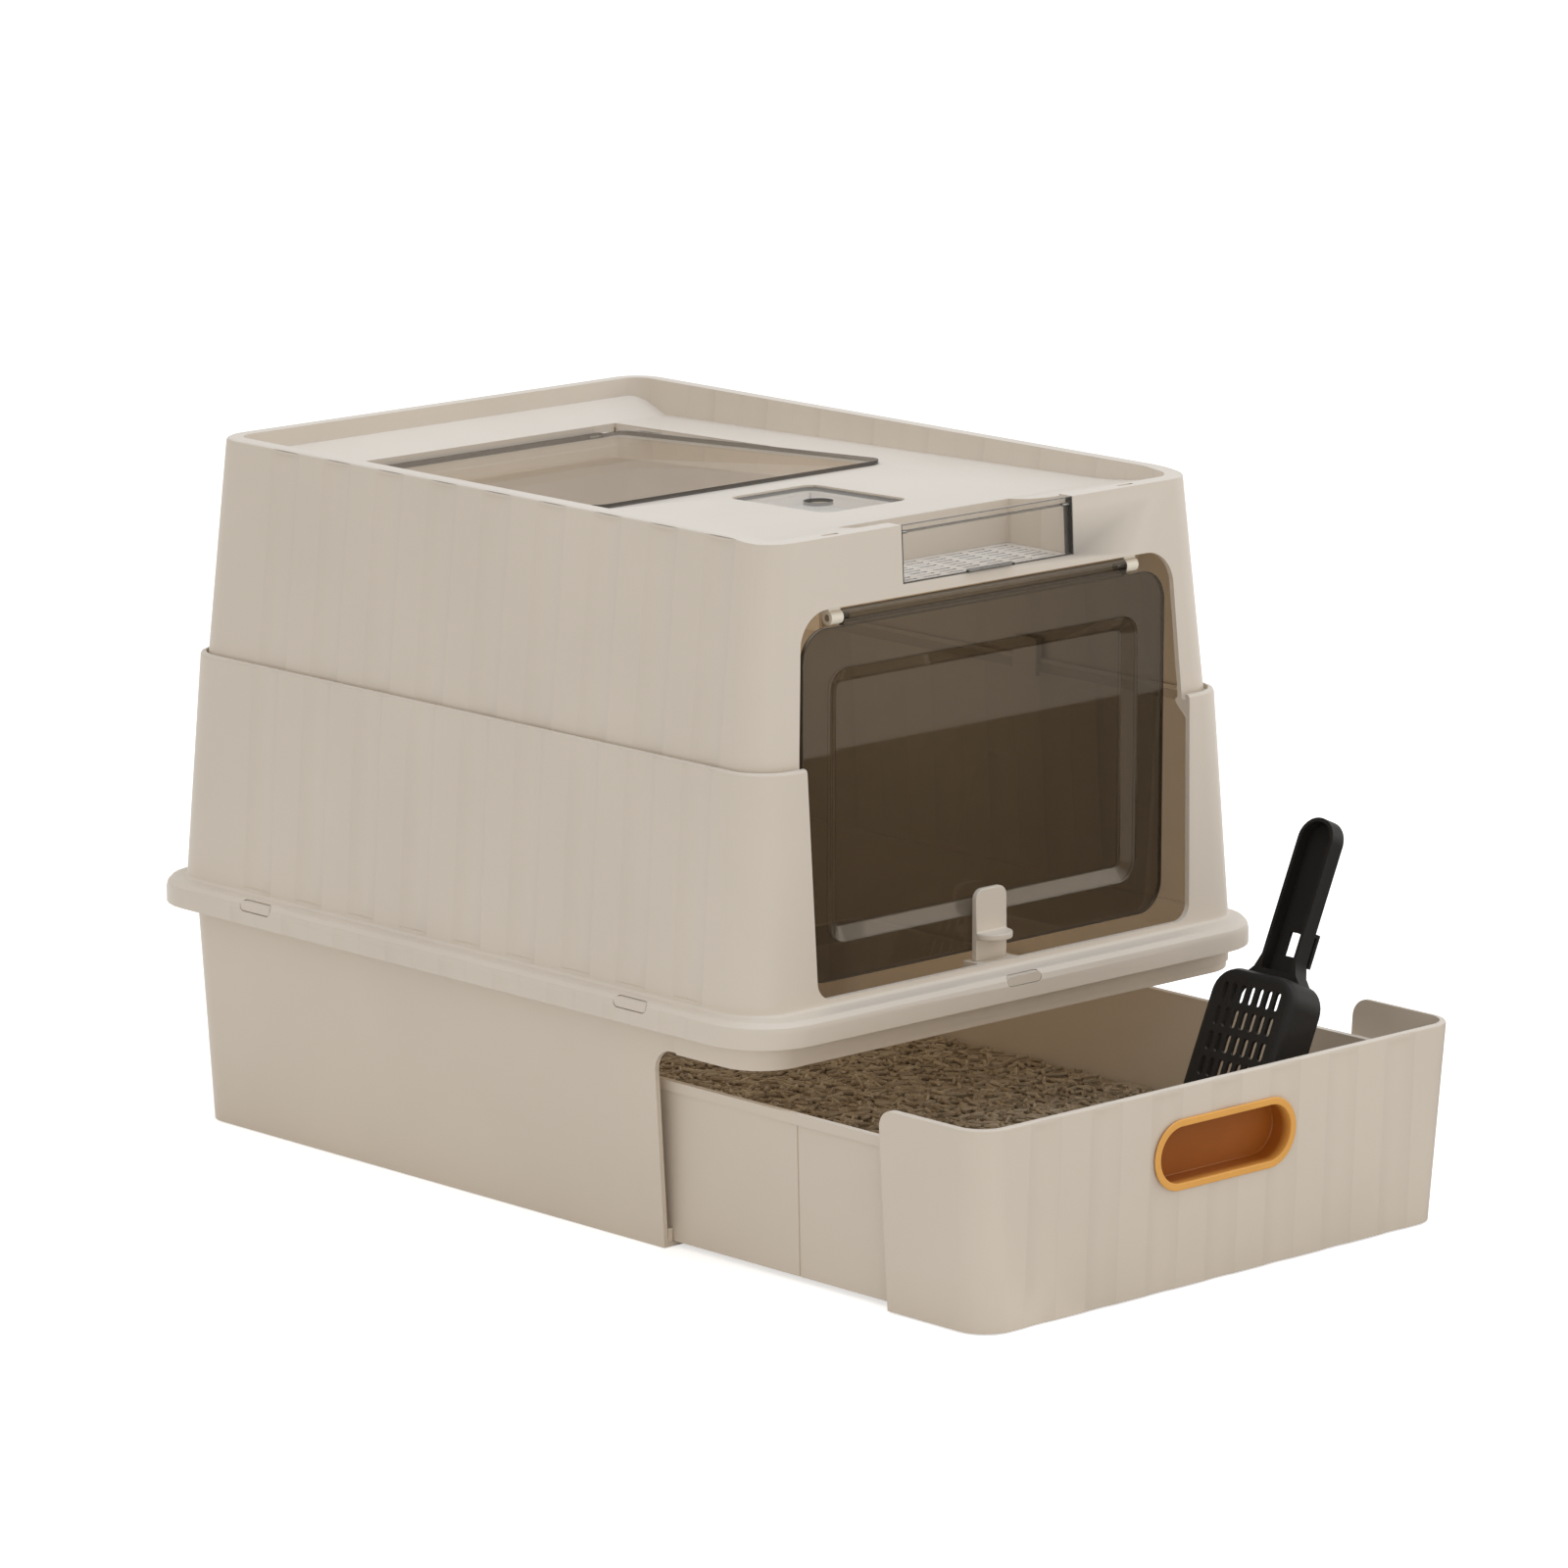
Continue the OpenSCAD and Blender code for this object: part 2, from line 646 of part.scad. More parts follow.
litter_z = litter_bottom_z + litter_depth;

// The snaps in the collar's shoulder
snap_z0 = collar_z - snap_h - 0.7;

// Joins rings into one solid, closed on itself like a sleeve, or capped at both ends
module skin(rings, sleeve = false) {
  n = len(rings[0]);
  m = len(rings);
  sides = [for (j = [0:(sleeve ? m : m - 1) - 1]) for (i = [0:n - 1])
    let (a = j * n + i, b = j * n + (i + 1) % n, k = ((j + 1) % m) * n)
    each [[a, k + i, k + (i + 1) % n], [a, k + (i + 1) % n, b]]];
  caps = sleeve ? [] : [[for (i = [0:n - 1]) i], [for (i = [0:n - 1]) m * n - 1 - i]];
  polyhedron([for (r = rings) each r], concat(sides, caps), convexity = 12);
}

// 2D shapes: a bar with round ends along x, and a rectangle with round corners
module stadium(half_l, half_h) {
  square([2 * (half_l - half_h), 2 * half_h], center = true);
  for (s = [-1, 1])
    translate([s * (half_l - half_h), 0]) circle(r = half_h, $fn = round_fn);
}

module round_rectangle(w, z0, z1, r_low, r_high) {
  for (s = [-1, 1]) {
    translate([s * (w - r_low), z0 + r_low]) circle(r = r_low, $fn = round_fn);
    translate([s * (w - r_high), z1 - r_high]) circle(r = r_high, $fn = round_fn);
  }
  translate([-w, z0 + r_low]) square([2 * w, z1 - z0 - r_low - r_high]);
  translate([r_low - w, z0]) square([2 * (w - r_low), r_low + past]);
  translate([r_high - w, z1 - r_high - past]) square([2 * (w - r_high), r_high + past]);
}

// Stands a 2D shape up facing the front, between two distances from the middle
module standing(y0, y1) {
  translate([0, y1, 0]) rotate([90, 0, 0]) linear_extrude(y1 - y0) children();
}

module both_sides() {
  children();
  mirror([1, 0, 0]) children();
}

// A round bar along x, centred
module bar_x(r, length) {
  rotate([0, 90, 0]) cylinder(r = r, h = length, center = true, $fn = round_fn);
}

// Places something in the plane of the hood's front or of the drawer's front at a height
module on_hood_front(z) {
  translate([0, up_at(z)[1], z]) rotate([-front_lean, 0, 0]) children();
}

module on_panel(z) {
  translate([0, panel_at(z)[1], z]) rotate([panel_tilt, 0, 0]) children();
}

// Cuts the entrance out of either hood
module entrance() {
  far = rim_front + collar_out_front + past;
  near = -hinge_y - bracket_r;
  standing(-far, -near) {
    round_rectangle(door_w_sill, sill_z, low_top_z, sill_r, sill_r);
    polygon([
      [-door_w_sill, sill_z + sill_r], [door_w_sill, sill_z + sill_r],
      [door_w_joint, low_top_z], [door_w_head, door_top_z - door_top_r],
      [-door_w_head, door_top_z - door_top_r], [-door_w_joint, low_top_z]]);
    round_rectangle(door_w_head, low_top_z, door_top_z, sill_r, door_top_r);
  }
}

// Cuts flutes down both sides and the rear of a wall that runs between two outlines
module wall_flutes(foot, head, foot_z, head_z, from_z, to_z) {
  side_lean = atan((foot[0] - head[0]) / (head_z - foot_z));
  rear_lean = atan((foot[2] - head[2]) / (head_z - foot_z));
  outward = flute_r - flute_depth;
  both_sides()
    for (i = [0:flute_count - 1])
      translate([foot[0], -flute_first + i * flute_pitch, foot_z])
        rotate([0, -side_lean, 0])
          translate([outward, 0, from_z - foot_z])
            cylinder(r = flute_r, h = to_z - from_z, $fn = round_fn);
  for (i = [0:rear_flute_count - 1])
    translate([(i - (rear_flute_count - 1) / 2) * flute_pitch, foot[2], foot_z])
      rotate([rear_lean, 0, 0])
        translate([0, outward, from_z - foot_z])
          cylinder(r = flute_r, h = to_z - from_z, $fn = round_fn);
}

// Places something at each snap, two a side, one at the front and one at the rear:
// there the collar's face lies along x, with the outside towards -y
module at_snaps() {
  for (s = [-1, 1]) for (t = [-1, 1])
    translate([s * collar[0], t * snap_y, 0]) rotate([0, 0, s * 90]) children();
  translate([0, collar[1], 0]) children();
  translate([0, collar[2], 0]) rotate([0, 0, 180]) children();
}

module snap_shape(grow) {
  translate([0, snap_z0 + snap_h / 2]) stadium(snap_l + grow, snap_h / 2 + grow);
}

module at_pads() {
  for (s = [-1, 1]) for (t = [-1, 1])
    translate([s * pad_x, t * pad_y, 0]) children();
}

// The cut that the drawer slides through, with rounded upper rear corners
module drawer_opening() {
  reach = rim_front + 2 * past;
  width = 2 * (rim_w + rail_out_side + past);
  translate([-width / 2, -reach, -past]) {
    cube([width, reach - side_wall_front, rail_z - cutout_r + past]);
    cube([width, reach - side_wall_front - cutout_r, rail_z + past]);
  }
  translate([0, -side_wall_front - cutout_r, rail_z - cutout_r]) bar_x(cutout_r, width);
}

module base() {
  ledge = inset(collar, skirt_t + ledge_gap);
  root = inset(rim, 1);
  step = inset(rail, rail_step_in);
  color(base_colour) {
    difference() {
      union() {
        skin([
          flat(base_foot, 0), flat(rim, rim_z), flat(rim, upstand_z),
          flat(inset(rim, base_wall), upstand_z), flat(inset(rim, base_wall), rim_z),
          flat(inset(base_at(base_floor_t), base_wall), base_floor_t)]);
        skin([
          flat(root, rim_z), flat(ledge, rim_z),
          flat(ledge, rim_z + ledge_t), flat(root, rim_z + ledge_t)], sleeve = true);
      }
      drawer_opening();
      at_pads() translate([0, 0, -past])
        cylinder(r = pad_r + pin_fit, h = pad_h + past, $fn = round_fn);
    }
    difference() {
      skin([
        flat(inset(step, 0.4), rail_z), flat(step, rail_z + 0.4),
        flat(step, rail_z + rail_step_h), flat(rail, rail_z + rail_step_h + 0.3),
        flat(rail, rim_z), flat(inset(rail, rail_t), rim_z),
        flat(inset(rail, rail_t), rail_z)], sleeve = true);
      translate([-rail[0] - past, -rail_end, 0])
        cube([2 * (rail[0] + past), rim_back + rail_end + past, upstand_z]);
    }
    translate([-tongue_w, -tongue_front, 0])
      cube([2 * tongue_w, tongue_front - side_wall_front + past, base_floor_t]);
  }
}

module rubber_pads() {
  color("#3b3a38") at_pads() cylinder(r = pad_r, h = pad_h, $fn = round_fn);
}

module drawer_runners() {
  run = base_foot[2] - base_wall - base_corner_r + side_wall_front;
  color(base_colour) both_sides()
    translate([tray_foot_w + runner_gap, -side_wall_front, base_floor_t])
      cube([runner_w, run, runner_h]);
}

module lower_hood() {
  turns = [0, 30, 60, 90];
  shoulder = [for (a = turns)
    flat(inset(collar, shoulder_r * (1 - cos(a))), collar_z - shoulder_r * (1 - sin(a)))];
  cove = [for (a = turns)
    flat(inset(low_at(collar_z), cove_r * (sin(a) - 1)), collar_z + cove_r * (1 - cos(a)))];
  seat_root_z = seat_z - seat_t - seat_w;
  color(hood_colour) difference() {
    skin(concat(
      [flat(collar, rim_z)], shoulder, cove,
      [
        flat(low_at(low_top_z - edge_r), low_top_z - edge_r),
        flat(inset(low_head, edge_r * 0.3), low_top_z - edge_r * 0.3),
        flat(inset(low_head, edge_r), low_top_z),
        flat(inset(low_head, hood_wall), low_top_z),
        flat(inset(low_at(seat_z), hood_wall), seat_z),
        flat(inset(low_at(seat_z), hood_wall + seat_w), seat_z),
        flat(inset(low_at(seat_z), hood_wall + seat_w), seat_z - seat_t),
        flat(inset(low_at(seat_root_z), hood_wall), seat_root_z),
        flat(inset(low_at(collar_z), hood_wall), collar_z),
        flat(inset(rim, base_wall), collar_z),
        flat(inset(rim, base_wall), upstand_z),
        flat(inset(collar, skirt_t), upstand_z),
        flat(inset(collar, skirt_t), rim_z)
      ]), sleeve = true);
    entrance();
    wall_flutes(low_foot, low_head, collar_z, low_top_z, collar_z + cove_r + 0.5, low_top_z);
    at_snaps() standing(-past, skirt_t + 2) snap_shape(0);
  }
}

// The curved ramp from the dish's floor up to the front edge
module front_ramp() {
  start = -front_ramp_start;
  end = dish_rim[1] - edge_r * 2;
  steps = 8;
  rise = front_edge_z - dish_at(end);
  curve = [for (i = [0:steps])
    let (t = i / steps, y = start + (end - start) * t) [y, dish_at(y) + rise * pow(t, 2.5)]];
  translate([-dish_rim[0], 0, 0]) rotate([90, 0, 90]) linear_extrude(2 * dish_rim[0])
    polygon(concat(curve, [[end, dish_at(end) - dish_t], [start, dish_at(start) - past]]));
}

// The straight ramp from the dish's floor up to the rear wall
module back_ramp() {
  start = back_ramp_start;
  end = dish_rim[2] + past;
  translate([past - dish_rim[0], 0, 0]) rotate([90, 0, 90]) linear_extrude(2 * (dish_rim[0] - past))
    polygon([
      [start, dish_at(start)], [end, top_z - back_ramp_drop],
      [end, dish_at(end) - past], [start, dish_at(start) - past]]);
}

// Lets the rim run down to the lower front edge
module front_edge_cut() {
  start = dish_rim[1] + front_edge_run;
  end = dish_rim[1];
  translate([-rim_w, 0, 0]) rotate([90, 0, 90]) linear_extrude(2 * rim_w)
    polygon([
      [start, top_z], [end, front_edge_z], [-rim_front, front_edge_z],
      [-rim_front, top_z + past], [start, top_z + past]]);
}

module lid_frame() {
  outer = pulled(inset(lid, 0), -lid_gap - hood_wall, -lid_gap - hood_wall, -lid_swing_gap - hood_wall);
  skirt = inset(lid_seat, -hood_wall);
  skin([under_lid(outer, lid_ledge_d), under_dish(outer, past)]);
  skin([under_lid(skirt, lid_ledge_d + lid_skirt_h), under_lid(skirt, lid_ledge_d - past)]);
}

module lid_lugs() {
  both_sides() translate([barrel_w + seat_gap + lug_l / 2, lid_axis_y, lid_axis_z]) {
    bar_x(barrel_r, lug_l);
    translate([-lug_l / 2, -barrel_r, -barrel_r - past]) cube([lug_l, 2 * barrel_r, barrel_r + past]);
  }
}

module deodoriser_frame() {
  outer = inset(deo_hole, -hood_wall);
  skin([under_dish(outer, deo_ledge_d + deo_ledge_t), under_dish(outer, past)]);
}

module pocket_box() {
  bottom = pocket_ledge_z - pocket_floor_t;
  front = up_at(bottom)[1] + 2.2;
  translate([-pocket_w - pocket_wall, front, bottom])
    cube([2 * (pocket_w + pocket_wall), -front - pocket_back + pocket_wall,
      dish_at(-pocket_back) - past - bottom]);
}

module pocket_cuts() {
  well_front = up_at(pocket_sill_z)[1] + hood_wall;
  throat_front = well_front + pocket_ledge_w;
  throat_w = pocket_w - pocket_ledge_w;
  translate([-pocket_w, -rim_front, pocket_sill_z])
    cube([2 * pocket_w, rim_front - pocket_back, top_z]);
  translate([-pocket_w, well_front, pocket_ledge_z])
    cube([2 * pocket_w, -well_front - pocket_back, scent_t + past]);
  translate([-throat_w, throat_front, door_top_z])
    cube([2 * throat_w, -throat_front - pocket_back - pocket_ledge_w, pocket_sill]);
}

module upper_hood() {
  ceiling_z = dish_at(dish[2]) - 3 * dish_t;
  color(hood_colour) difference() {
    union() {
      difference() {
        union() {
          skin([
            under_dish(inset(dish, -past), dish_t),
            flat(inset(up_at(ceiling_z), hood_wall), ceiling_z),
            flat(inset(up_foot, hood_wall), seat_z),
            flat(up_foot, seat_z),
            flat(up_at(top_z - edge_r), top_z - edge_r),
            flat(inset(up_head, edge_r * 0.3), top_z - edge_r * 0.3),
            flat(inset(up_head, edge_r), top_z),
            flat(dish_rim, top_z),
            under_dish(dish, 0)]);
          front_ramp();
          back_ramp();
          lid_frame();
          deodoriser_frame();
          pocket_box();
        }
        skin([under_lid(lid_hole, lid_t + seat_gap), flat(lid_hole, top_z + past)]);
        translate([-lid_hole[0], lid_back - lid_r, lid_axis_z + 0.6])
          cube([2 * lid_hole[0], lid_r + lid_swing_gap, top_z - lid_axis_z]);
        skin([flat(lid_seat, lid_frame_z), flat(lid_seat, top_z + past)]);
      }
      lid_lugs();
    }
    translate([0, lid_axis_y, lid_axis_z]) {
      bar_x(barrel_r + 1, 2 * (barrel_w + seat_gap));
      bar_x(lid_pin_r + pin_fit, 2 * (barrel_w + seat_gap + lug_l + past));
    }
    skin([under_dish(deo_hole, deo_ledge_d), flat(deo_hole, top_z)]);
    skin([flat(deo_seat, dish_z - deo_ledge_d - deo_ledge_t - past), flat(deo_seat, top_z)]);
    pocket_cuts();
    on_hood_front(front_edge_z) translate([0, cover_pin_y, -cover_rail_h])
      bar_x(cover_pin_r + pin_fit, 2 * (pocket_w + cover_pin_l));
    front_edge_cut();
    both_sides() translate([mark_x, (dish_rim[1] + up_head[1] + edge_r) / 2, front_edge_z - mark_d])
      linear_extrude(mark_d + past) stadium(mark_l, mark_r);
    entrance();
    wall_flutes(up_foot, up_head, seat_z, top_z, seat_z, top_z - edge_r);
  }
}

module snap_tongues() {
  color(hood_colour) at_snaps() {
    standing(0.6, skirt_t + 1.6) snap_shape(-snap_gap);
    translate([past + snap_gap - snap_l, skirt_t + snap_gap, snap_z0 - 2])
      cube([2 * (snap_l - past - snap_gap), 4, upstand_z - snap_z0 + 2]);
  }
}

// Clips on the inside that hold the upper hood on its seat
module hood_clips() {
  seat_in = low_at(seat_z)[0] - hood_wall - seat_w;
  clip_in = seat_in - seat_gap - clip_t;
  wall_in = up_at(seat_z + clip_rise)[0] - hood_wall - seat_gap;
  color(hood_colour) for (t = [-2, 2]) both_sides()
    translate([clip_in, t * flute_pitch - clip_l, seat_z]) {
      translate([0, 0, -seat_t - clip_drop]) cube([clip_t, 2 * clip_l, seat_t + clip_drop + clip_rise]);
      translate([0, 0, seat_gap]) cube([wall_in - clip_in, 2 * clip_l, clip_rise - seat_gap]);
    }
}

module latch_guide() {
  half = latch_w + guide_gap + guide_wall;
  rear = latch_back + guide_gap + guide_wall;
  front = -rim_front + base_wall + seat_gap;
  wall_in = low_at(collar_z)[1] + hood_wall + seat_gap;
  flange_h = guide_top_z - collar_z - seat_gap;
  color(hood_colour) difference() {
    union() {
      translate([-half, front, guide_bottom_z]) cube([2 * half, rear - front, guide_h]);
      translate([-half, wall_in, guide_top_z - flange_h]) cube([2 * half, rear - wall_in, flange_h]);
    }
    translate([-latch_w - guide_gap, latch_front - guide_gap, guide_bottom_z - past])
      cube([2 * (latch_w + guide_gap), latch_t + 2 * guide_gap, guide_h + 2 * past]);
  }
}

module latch_slider() {
  foot_w = latch_w + guide_gap + guide_wall;
  color(hood_colour) {
    standing(latch_front, latch_back)
      round_rectangle(latch_w, latch_bottom_z, latch_top_z, 1, latch_r);
    translate([-foot_w, latch_front, latch_bottom_z])
      cube([2 * foot_w, latch_t, guide_bottom_z - seat_gap - latch_bottom_z]);
    intersection() {
      translate([0, latch_front, sill_z + thumb_z])
        cylinder(r = latch_w, h = thumb_t, $fn = round_fn);
      translate([-latch_w, latch_front - latch_w, sill_z])
        cube([2 * latch_w, latch_w + past, latch_h]);
    }
  }
}

module flap_door() {
  pane = [pane_w, flap_bottom_z + pane_foot, flap_top_z - pane_head, pane_r];
  pane_floor = inset(pane, pane_slope);
  color(smoke) difference() {
    union() {
      standing(-flap_front, -flap_front + flap_t)
        round_rectangle(flap_w, flap_bottom_z, flap_top_z, flap_r, flap_r);
      rotate([90, 0, 0]) skin([
        flat(pane_floor, flap_front - flap_t - pane_depth), flat(pane, flap_front - flap_t),
        flat(pane, flap_front - flap_t / 2)]);
      translate([0, hinge_y, hinge_z]) bar_x(hinge_bar_r, 2 * hinge_bar_w);
      translate([-hinge_bar_w, -flap_front, flap_top_z - past])
        cube([2 * hinge_bar_w, hinge_back, flap_hang + past]);
    }
    rotate([90, 0, 0]) skin([
      flat(pane_floor, flap_front - pane_depth), flat(pane, flap_front), flat(pane, flap_front + past)]);
    both_sides() translate([hinge_bar_w, hinge_y, hinge_z])
      bar_x(flap_pin_r + pin_fit, 2 * (flap_pin_l - bracket_w));
  }
}

module flap_brackets() {
  stem_front = up_at(bracket_top_z)[1] + hood_wall + seat_gap;
  color("#efe6cf") both_sides() difference() {
    union() {
      translate([bracket_x + bracket_w / 2, hinge_y, hinge_z]) bar_x(bracket_r, bracket_w);
      translate([bracket_x, stem_front, hinge_z])
        cube([bracket_w, hinge_y + bracket_r - stem_front, bracket_top_z - hinge_z]);
    }
    translate([bracket_x, hinge_y, hinge_z]) bar_x(flap_pin_r + pin_fit, 4 * bracket_w);
  }
}

module flap_pins() {
  color("#c9c4ba") both_sides()
    translate([bracket_x + bracket_w - flap_pin_l / 2, hinge_y, hinge_z]) bar_x(flap_pin_r, flap_pin_l);
}

module top_lid() {
  notch_y = lid_axis_y - barrel_r - 2 * seat_gap;
  notch_z = dish_at(lid_back) - 3 * lid_t;
  color(smoke) difference() {
    union() {
      difference() {
        skin([under_lid(lid, lid_t), under_lid(lid, 0)]);
        both_sides() translate([barrel_w, notch_y, notch_z]) cube([lid_w, lid_back, 6 * lid_t]);
      }
      translate([0, lid_axis_y, lid_axis_z]) bar_x(barrel_r, 2 * barrel_w);
    }
    both_sides() translate([barrel_w, lid_axis_y, lid_axis_z])
      bar_x(lid_pin_r + pin_fit, 2 * (barrel_bore_l + seat_gap));
  }
}

module lid_pins() {
  color("#8d8a85") both_sides()
    translate([barrel_w + seat_gap + lug_l - lid_pin_l / 2, lid_axis_y, lid_axis_z])
      bar_x(lid_pin_r, lid_pin_l);
}

module deodoriser_cup() {
  flange = inset(deo, seat_gap);
  deep = deo_flange_d + deo_cup_h;
  vent_l = deo_cup[0] - deo_cup_wall - vent_margin;
  side_vents = floor((deo_l - deo_ledge_w - vent_margin - deo_r) / vent_pitch) + 1;
  color(base_colour) difference() {
    skin([
      under_dish(deo_cup, deep), under_dish(deo_cup, deo_flange_d + deo_flange_t),
      under_dish(flange, deo_flange_d + deo_flange_t), under_dish(flange, deo_flange_d),
      under_dish(inset(deo_cup, deo_cup_wall), deo_flange_d),
      under_dish(inset(deo_cup, deo_cup_wall), deep - deo_cup_wall)]);
    for (i = [-side_vents:side_vents])
      translate([0, -deo_y + i * vent_pitch, dish_at(-deo_y + i * vent_pitch) - deep - deo_cup_wall])
        linear_extrude(3 * deo_cup_wall) stadium(vent_l, vent_w / 2);
  }
}

module carbon_pad() {
  room = inset(deo_cup, deo_cup_wall + seat_gap);
  floor_d = deo_flange_d + deo_cup_h - deo_cup_wall - seat_gap;
  color("#3a3a3a") skin([under_dish(room, floor_d), under_dish(room, floor_d - pad_t)]);
}

module deodoriser_cover() {
  color(smoke) difference() {
    skin([under_dish(deo, deo_sunk + deo_cover_t), under_dish(deo, deo_sunk)]);
    translate([0, -deo_y, dish_at(-deo_y) - deo_sunk - 2 * deo_cover_t])
      cylinder(r = finger_r, h = 3 * deo_cover_t, $fn = round_fn);
  }
}

module scent_tray() {
  front = up_at(pocket_sill_z)[1] + hood_wall + seat_gap;
  back = -pocket_back - seat_gap;
  half = pocket_w - seat_gap;
  rows = floor((back - front - scent_pitch_y) / scent_pitch_y);
  columns = floor((2 * half - scent_slot_l / 2) / scent_pitch_x);
  color(base_colour) difference() {
    translate([-half, front, pocket_ledge_z + seat_gap]) cube([2 * half, back - front, scent_t]);
    translate([0, (front + back) / 2, pocket_ledge_z]) linear_extrude(scent_t + past)
      for (i = [0:rows - 1]) for (j = [0:columns - 1])
        translate([(j - (columns - 1) / 2) * scent_pitch_x, (i - (rows - 1) / 2) * scent_pitch_y])
          stadium(scent_slot_l / 2, scent_slot_w / 2);
  }
}

module pocket_cover() {
  back_h = cover_h - 2 * seat_gap;
  color(clear) on_hood_front(front_edge_z) difference() {
    translate([0, 0, -cover_h]) {
      translate([-cover_w, 0, 0]) cube([2 * cover_w, cover_t, cover_h]);
      translate([-cover_w, 0, cover_h - cover_rail_h])
        cube([2 * cover_w, cover_return, cover_rail_h - 2 * seat_gap]);
      both_sides() translate([cover_w - cover_return_t, 0, 0]) cube([cover_return_t, cover_return, back_h]);
      translate([-pull_w / 2, -pull_out, 0]) cube([pull_w, pull_out + past, pull_t]);
    }
    both_sides() translate([cover_w, cover_pin_y, -cover_rail_h])
      bar_x(cover_pin_r + pin_fit, 2 * cover_pin_l);
  }
}

module pocket_pins() {
  color("#8d8a85") on_hood_front(front_edge_z) both_sides()
    translate([pocket_w, cover_pin_y, -cover_rail_h])
      bar_x(cover_pin_r, 2 * (cover_pin_l - seat_gap));
}

module drawer_shell() {
  panel_in = inset(panel_foot, panel_t);
  top_in = inset(panel_head, panel_t);
  band_foot_z = tray_z - tray_band_h;
  panel_back = wing_rear - panel_foot[1] - panel_t;
  skin([
    flat(tray_foot, tray_bottom), flat(inset(tray_at(band_foot_z), tray_band_out), band_foot_z),
    flat(tray_at(band_foot_z), band_foot_z), flat(tray_head, tray_z),
    flat(inset(tray_head, tray_wall + tray_band_out), tray_z),
    flat(inset(tray_at(tray_bottom + tray_wall), tray_wall), tray_bottom + tray_wall)]);
  difference() {
    skin([
      flat(panel_foot, panel_foot_gap), flat(panel_at(panel_top_z - 1.6), panel_top_z - 1.6),
      flat(inset(panel_head, 0.5), panel_top_z - 0.5), flat(inset(panel_head, 1.6), panel_top_z),
      flat(top_in, panel_top_z), flat(panel_in, panel_foot_gap)], sleeve = true);
    translate([-rim_w, wing_rear, -past]) cube([2 * rim_w, 2 * rim_back, rail_z]);
    difference() {
      translate([-rim_w, wing_rear - wing_r, panel_top_z - wing_r])
        cube([2 * rim_w, wing_r + past, wing_r + past]);
      translate([0, wing_rear - wing_r, panel_top_z - wing_r]) bar_x(wing_r, 2 * rim_w);
    }
  }
  both_sides() translate([tray_head[0] - 2, panel_foot[1] + base_corner_r, band_foot_z + 1])
    cube([base_at(tray_z)[0] - tray_head[0] - panel_t + 4, panel_back - base_corner_r, web_t]);
}

// An upright groove in each side of the tray, from its foot to its band
module tray_grooves() {
  head_z = tray_z - tray_band_h - tray_groove_w / 2;
  foot_x = tray_foot[0] - tray_groove_d;
  head_x = tray_at(head_z)[0] - tray_band_out - tray_groove_d;
  both_sides() translate([0, tray_groove_w / 2 - tray_groove_y - drawer_open, 0])
    rotate([90, 0, 0]) linear_extrude(tray_groove_w)
      polygon([
        [foot_x, tray_bottom - past], [head_x, head_z],
        [head_x + 2 * tray_groove_d, head_z], [foot_x + 2 * tray_groove_d, tray_bottom - past]]);
}

module drawer() {
  color(base_colour) difference() {
    drawer_shell();
    tray_grooves();
    on_panel(panel_foot_gap)
      for (i = [0:panel_flute_count - 1])
        translate([(i - (panel_flute_count - 1) / 2) * panel_flute_pitch, flute_depth - flute_r, -past])
          cylinder(r = flute_r, h = panel_rise + past - flute_margin, $fn = round_fn);
    on_panel(handle_z) standing(-past, panel_t + tray_wall + 2 * past)
      stadium(handle_l - handle_ring_w / 2 + handle_fit, handle_h - handle_ring_w / 2 + handle_fit);
  }
}

module handle_cup() {
  neck_l = handle_l - handle_ring_w / 2;
  neck_h = handle_h - handle_ring_w / 2;
  color("#c08a4e") on_panel(handle_z) difference() {
    union() {
      standing(-handle_proud, 0) stadium(handle_l, handle_h);
      standing(-past / 2, handle_depth) stadium(neck_l, neck_h);
    }
    standing(-handle_proud - past, handle_depth - handle_wall)
      stadium(neck_l - handle_wall, neck_h - handle_wall);
  }
}

module litter_bed() {
  room = tray_wall + seat_gap;
  color("#8f7a62") skin([
    flat(inset(tray_at(litter_bottom_z), room), litter_bottom_z),
    flat(inset(tray_at(litter_z), room + seat_gap), litter_z)]);
}

// The scoop stands on its tip: z runs up its length and x from its floor to its open side
module scoop_blade() {
  outline = [blade_w, 0, blade_l, blade_corner_r];
  slot_rows = floor((blade_l - blade_corner_r) / slot_pitch_l);
  side_slots = floor((blade_w - blade_floor_r - slot_w / 2) / slot_pitch_w);
  rotate([90, 0, 90]) difference() {
    skin([
      flat(inset(outline, blade_floor_r), 0),
      flat(inset(outline, blade_floor_r * 0.3), blade_floor_r * 0.3),
      flat(outline, blade_floor_r), flat(outline, blade_d),
      flat(inset(outline, scoop_wall), blade_d), flat(inset(outline, scoop_wall), blade_floor_r),
      flat(inset(outline, blade_floor_r), scoop_wall)]);
    translate([0, blade_l - slot_pitch_l, -past]) linear_extrude(scoop_wall + 2 * past)
      for (i = [0:slot_rows - 1]) for (j = [-side_slots:side_slots])
        translate([j * slot_pitch_w, -i * slot_pitch_l]) rotate([0, 0, 90])
          stadium(slot_l / 2, slot_w / 2);
  }
}

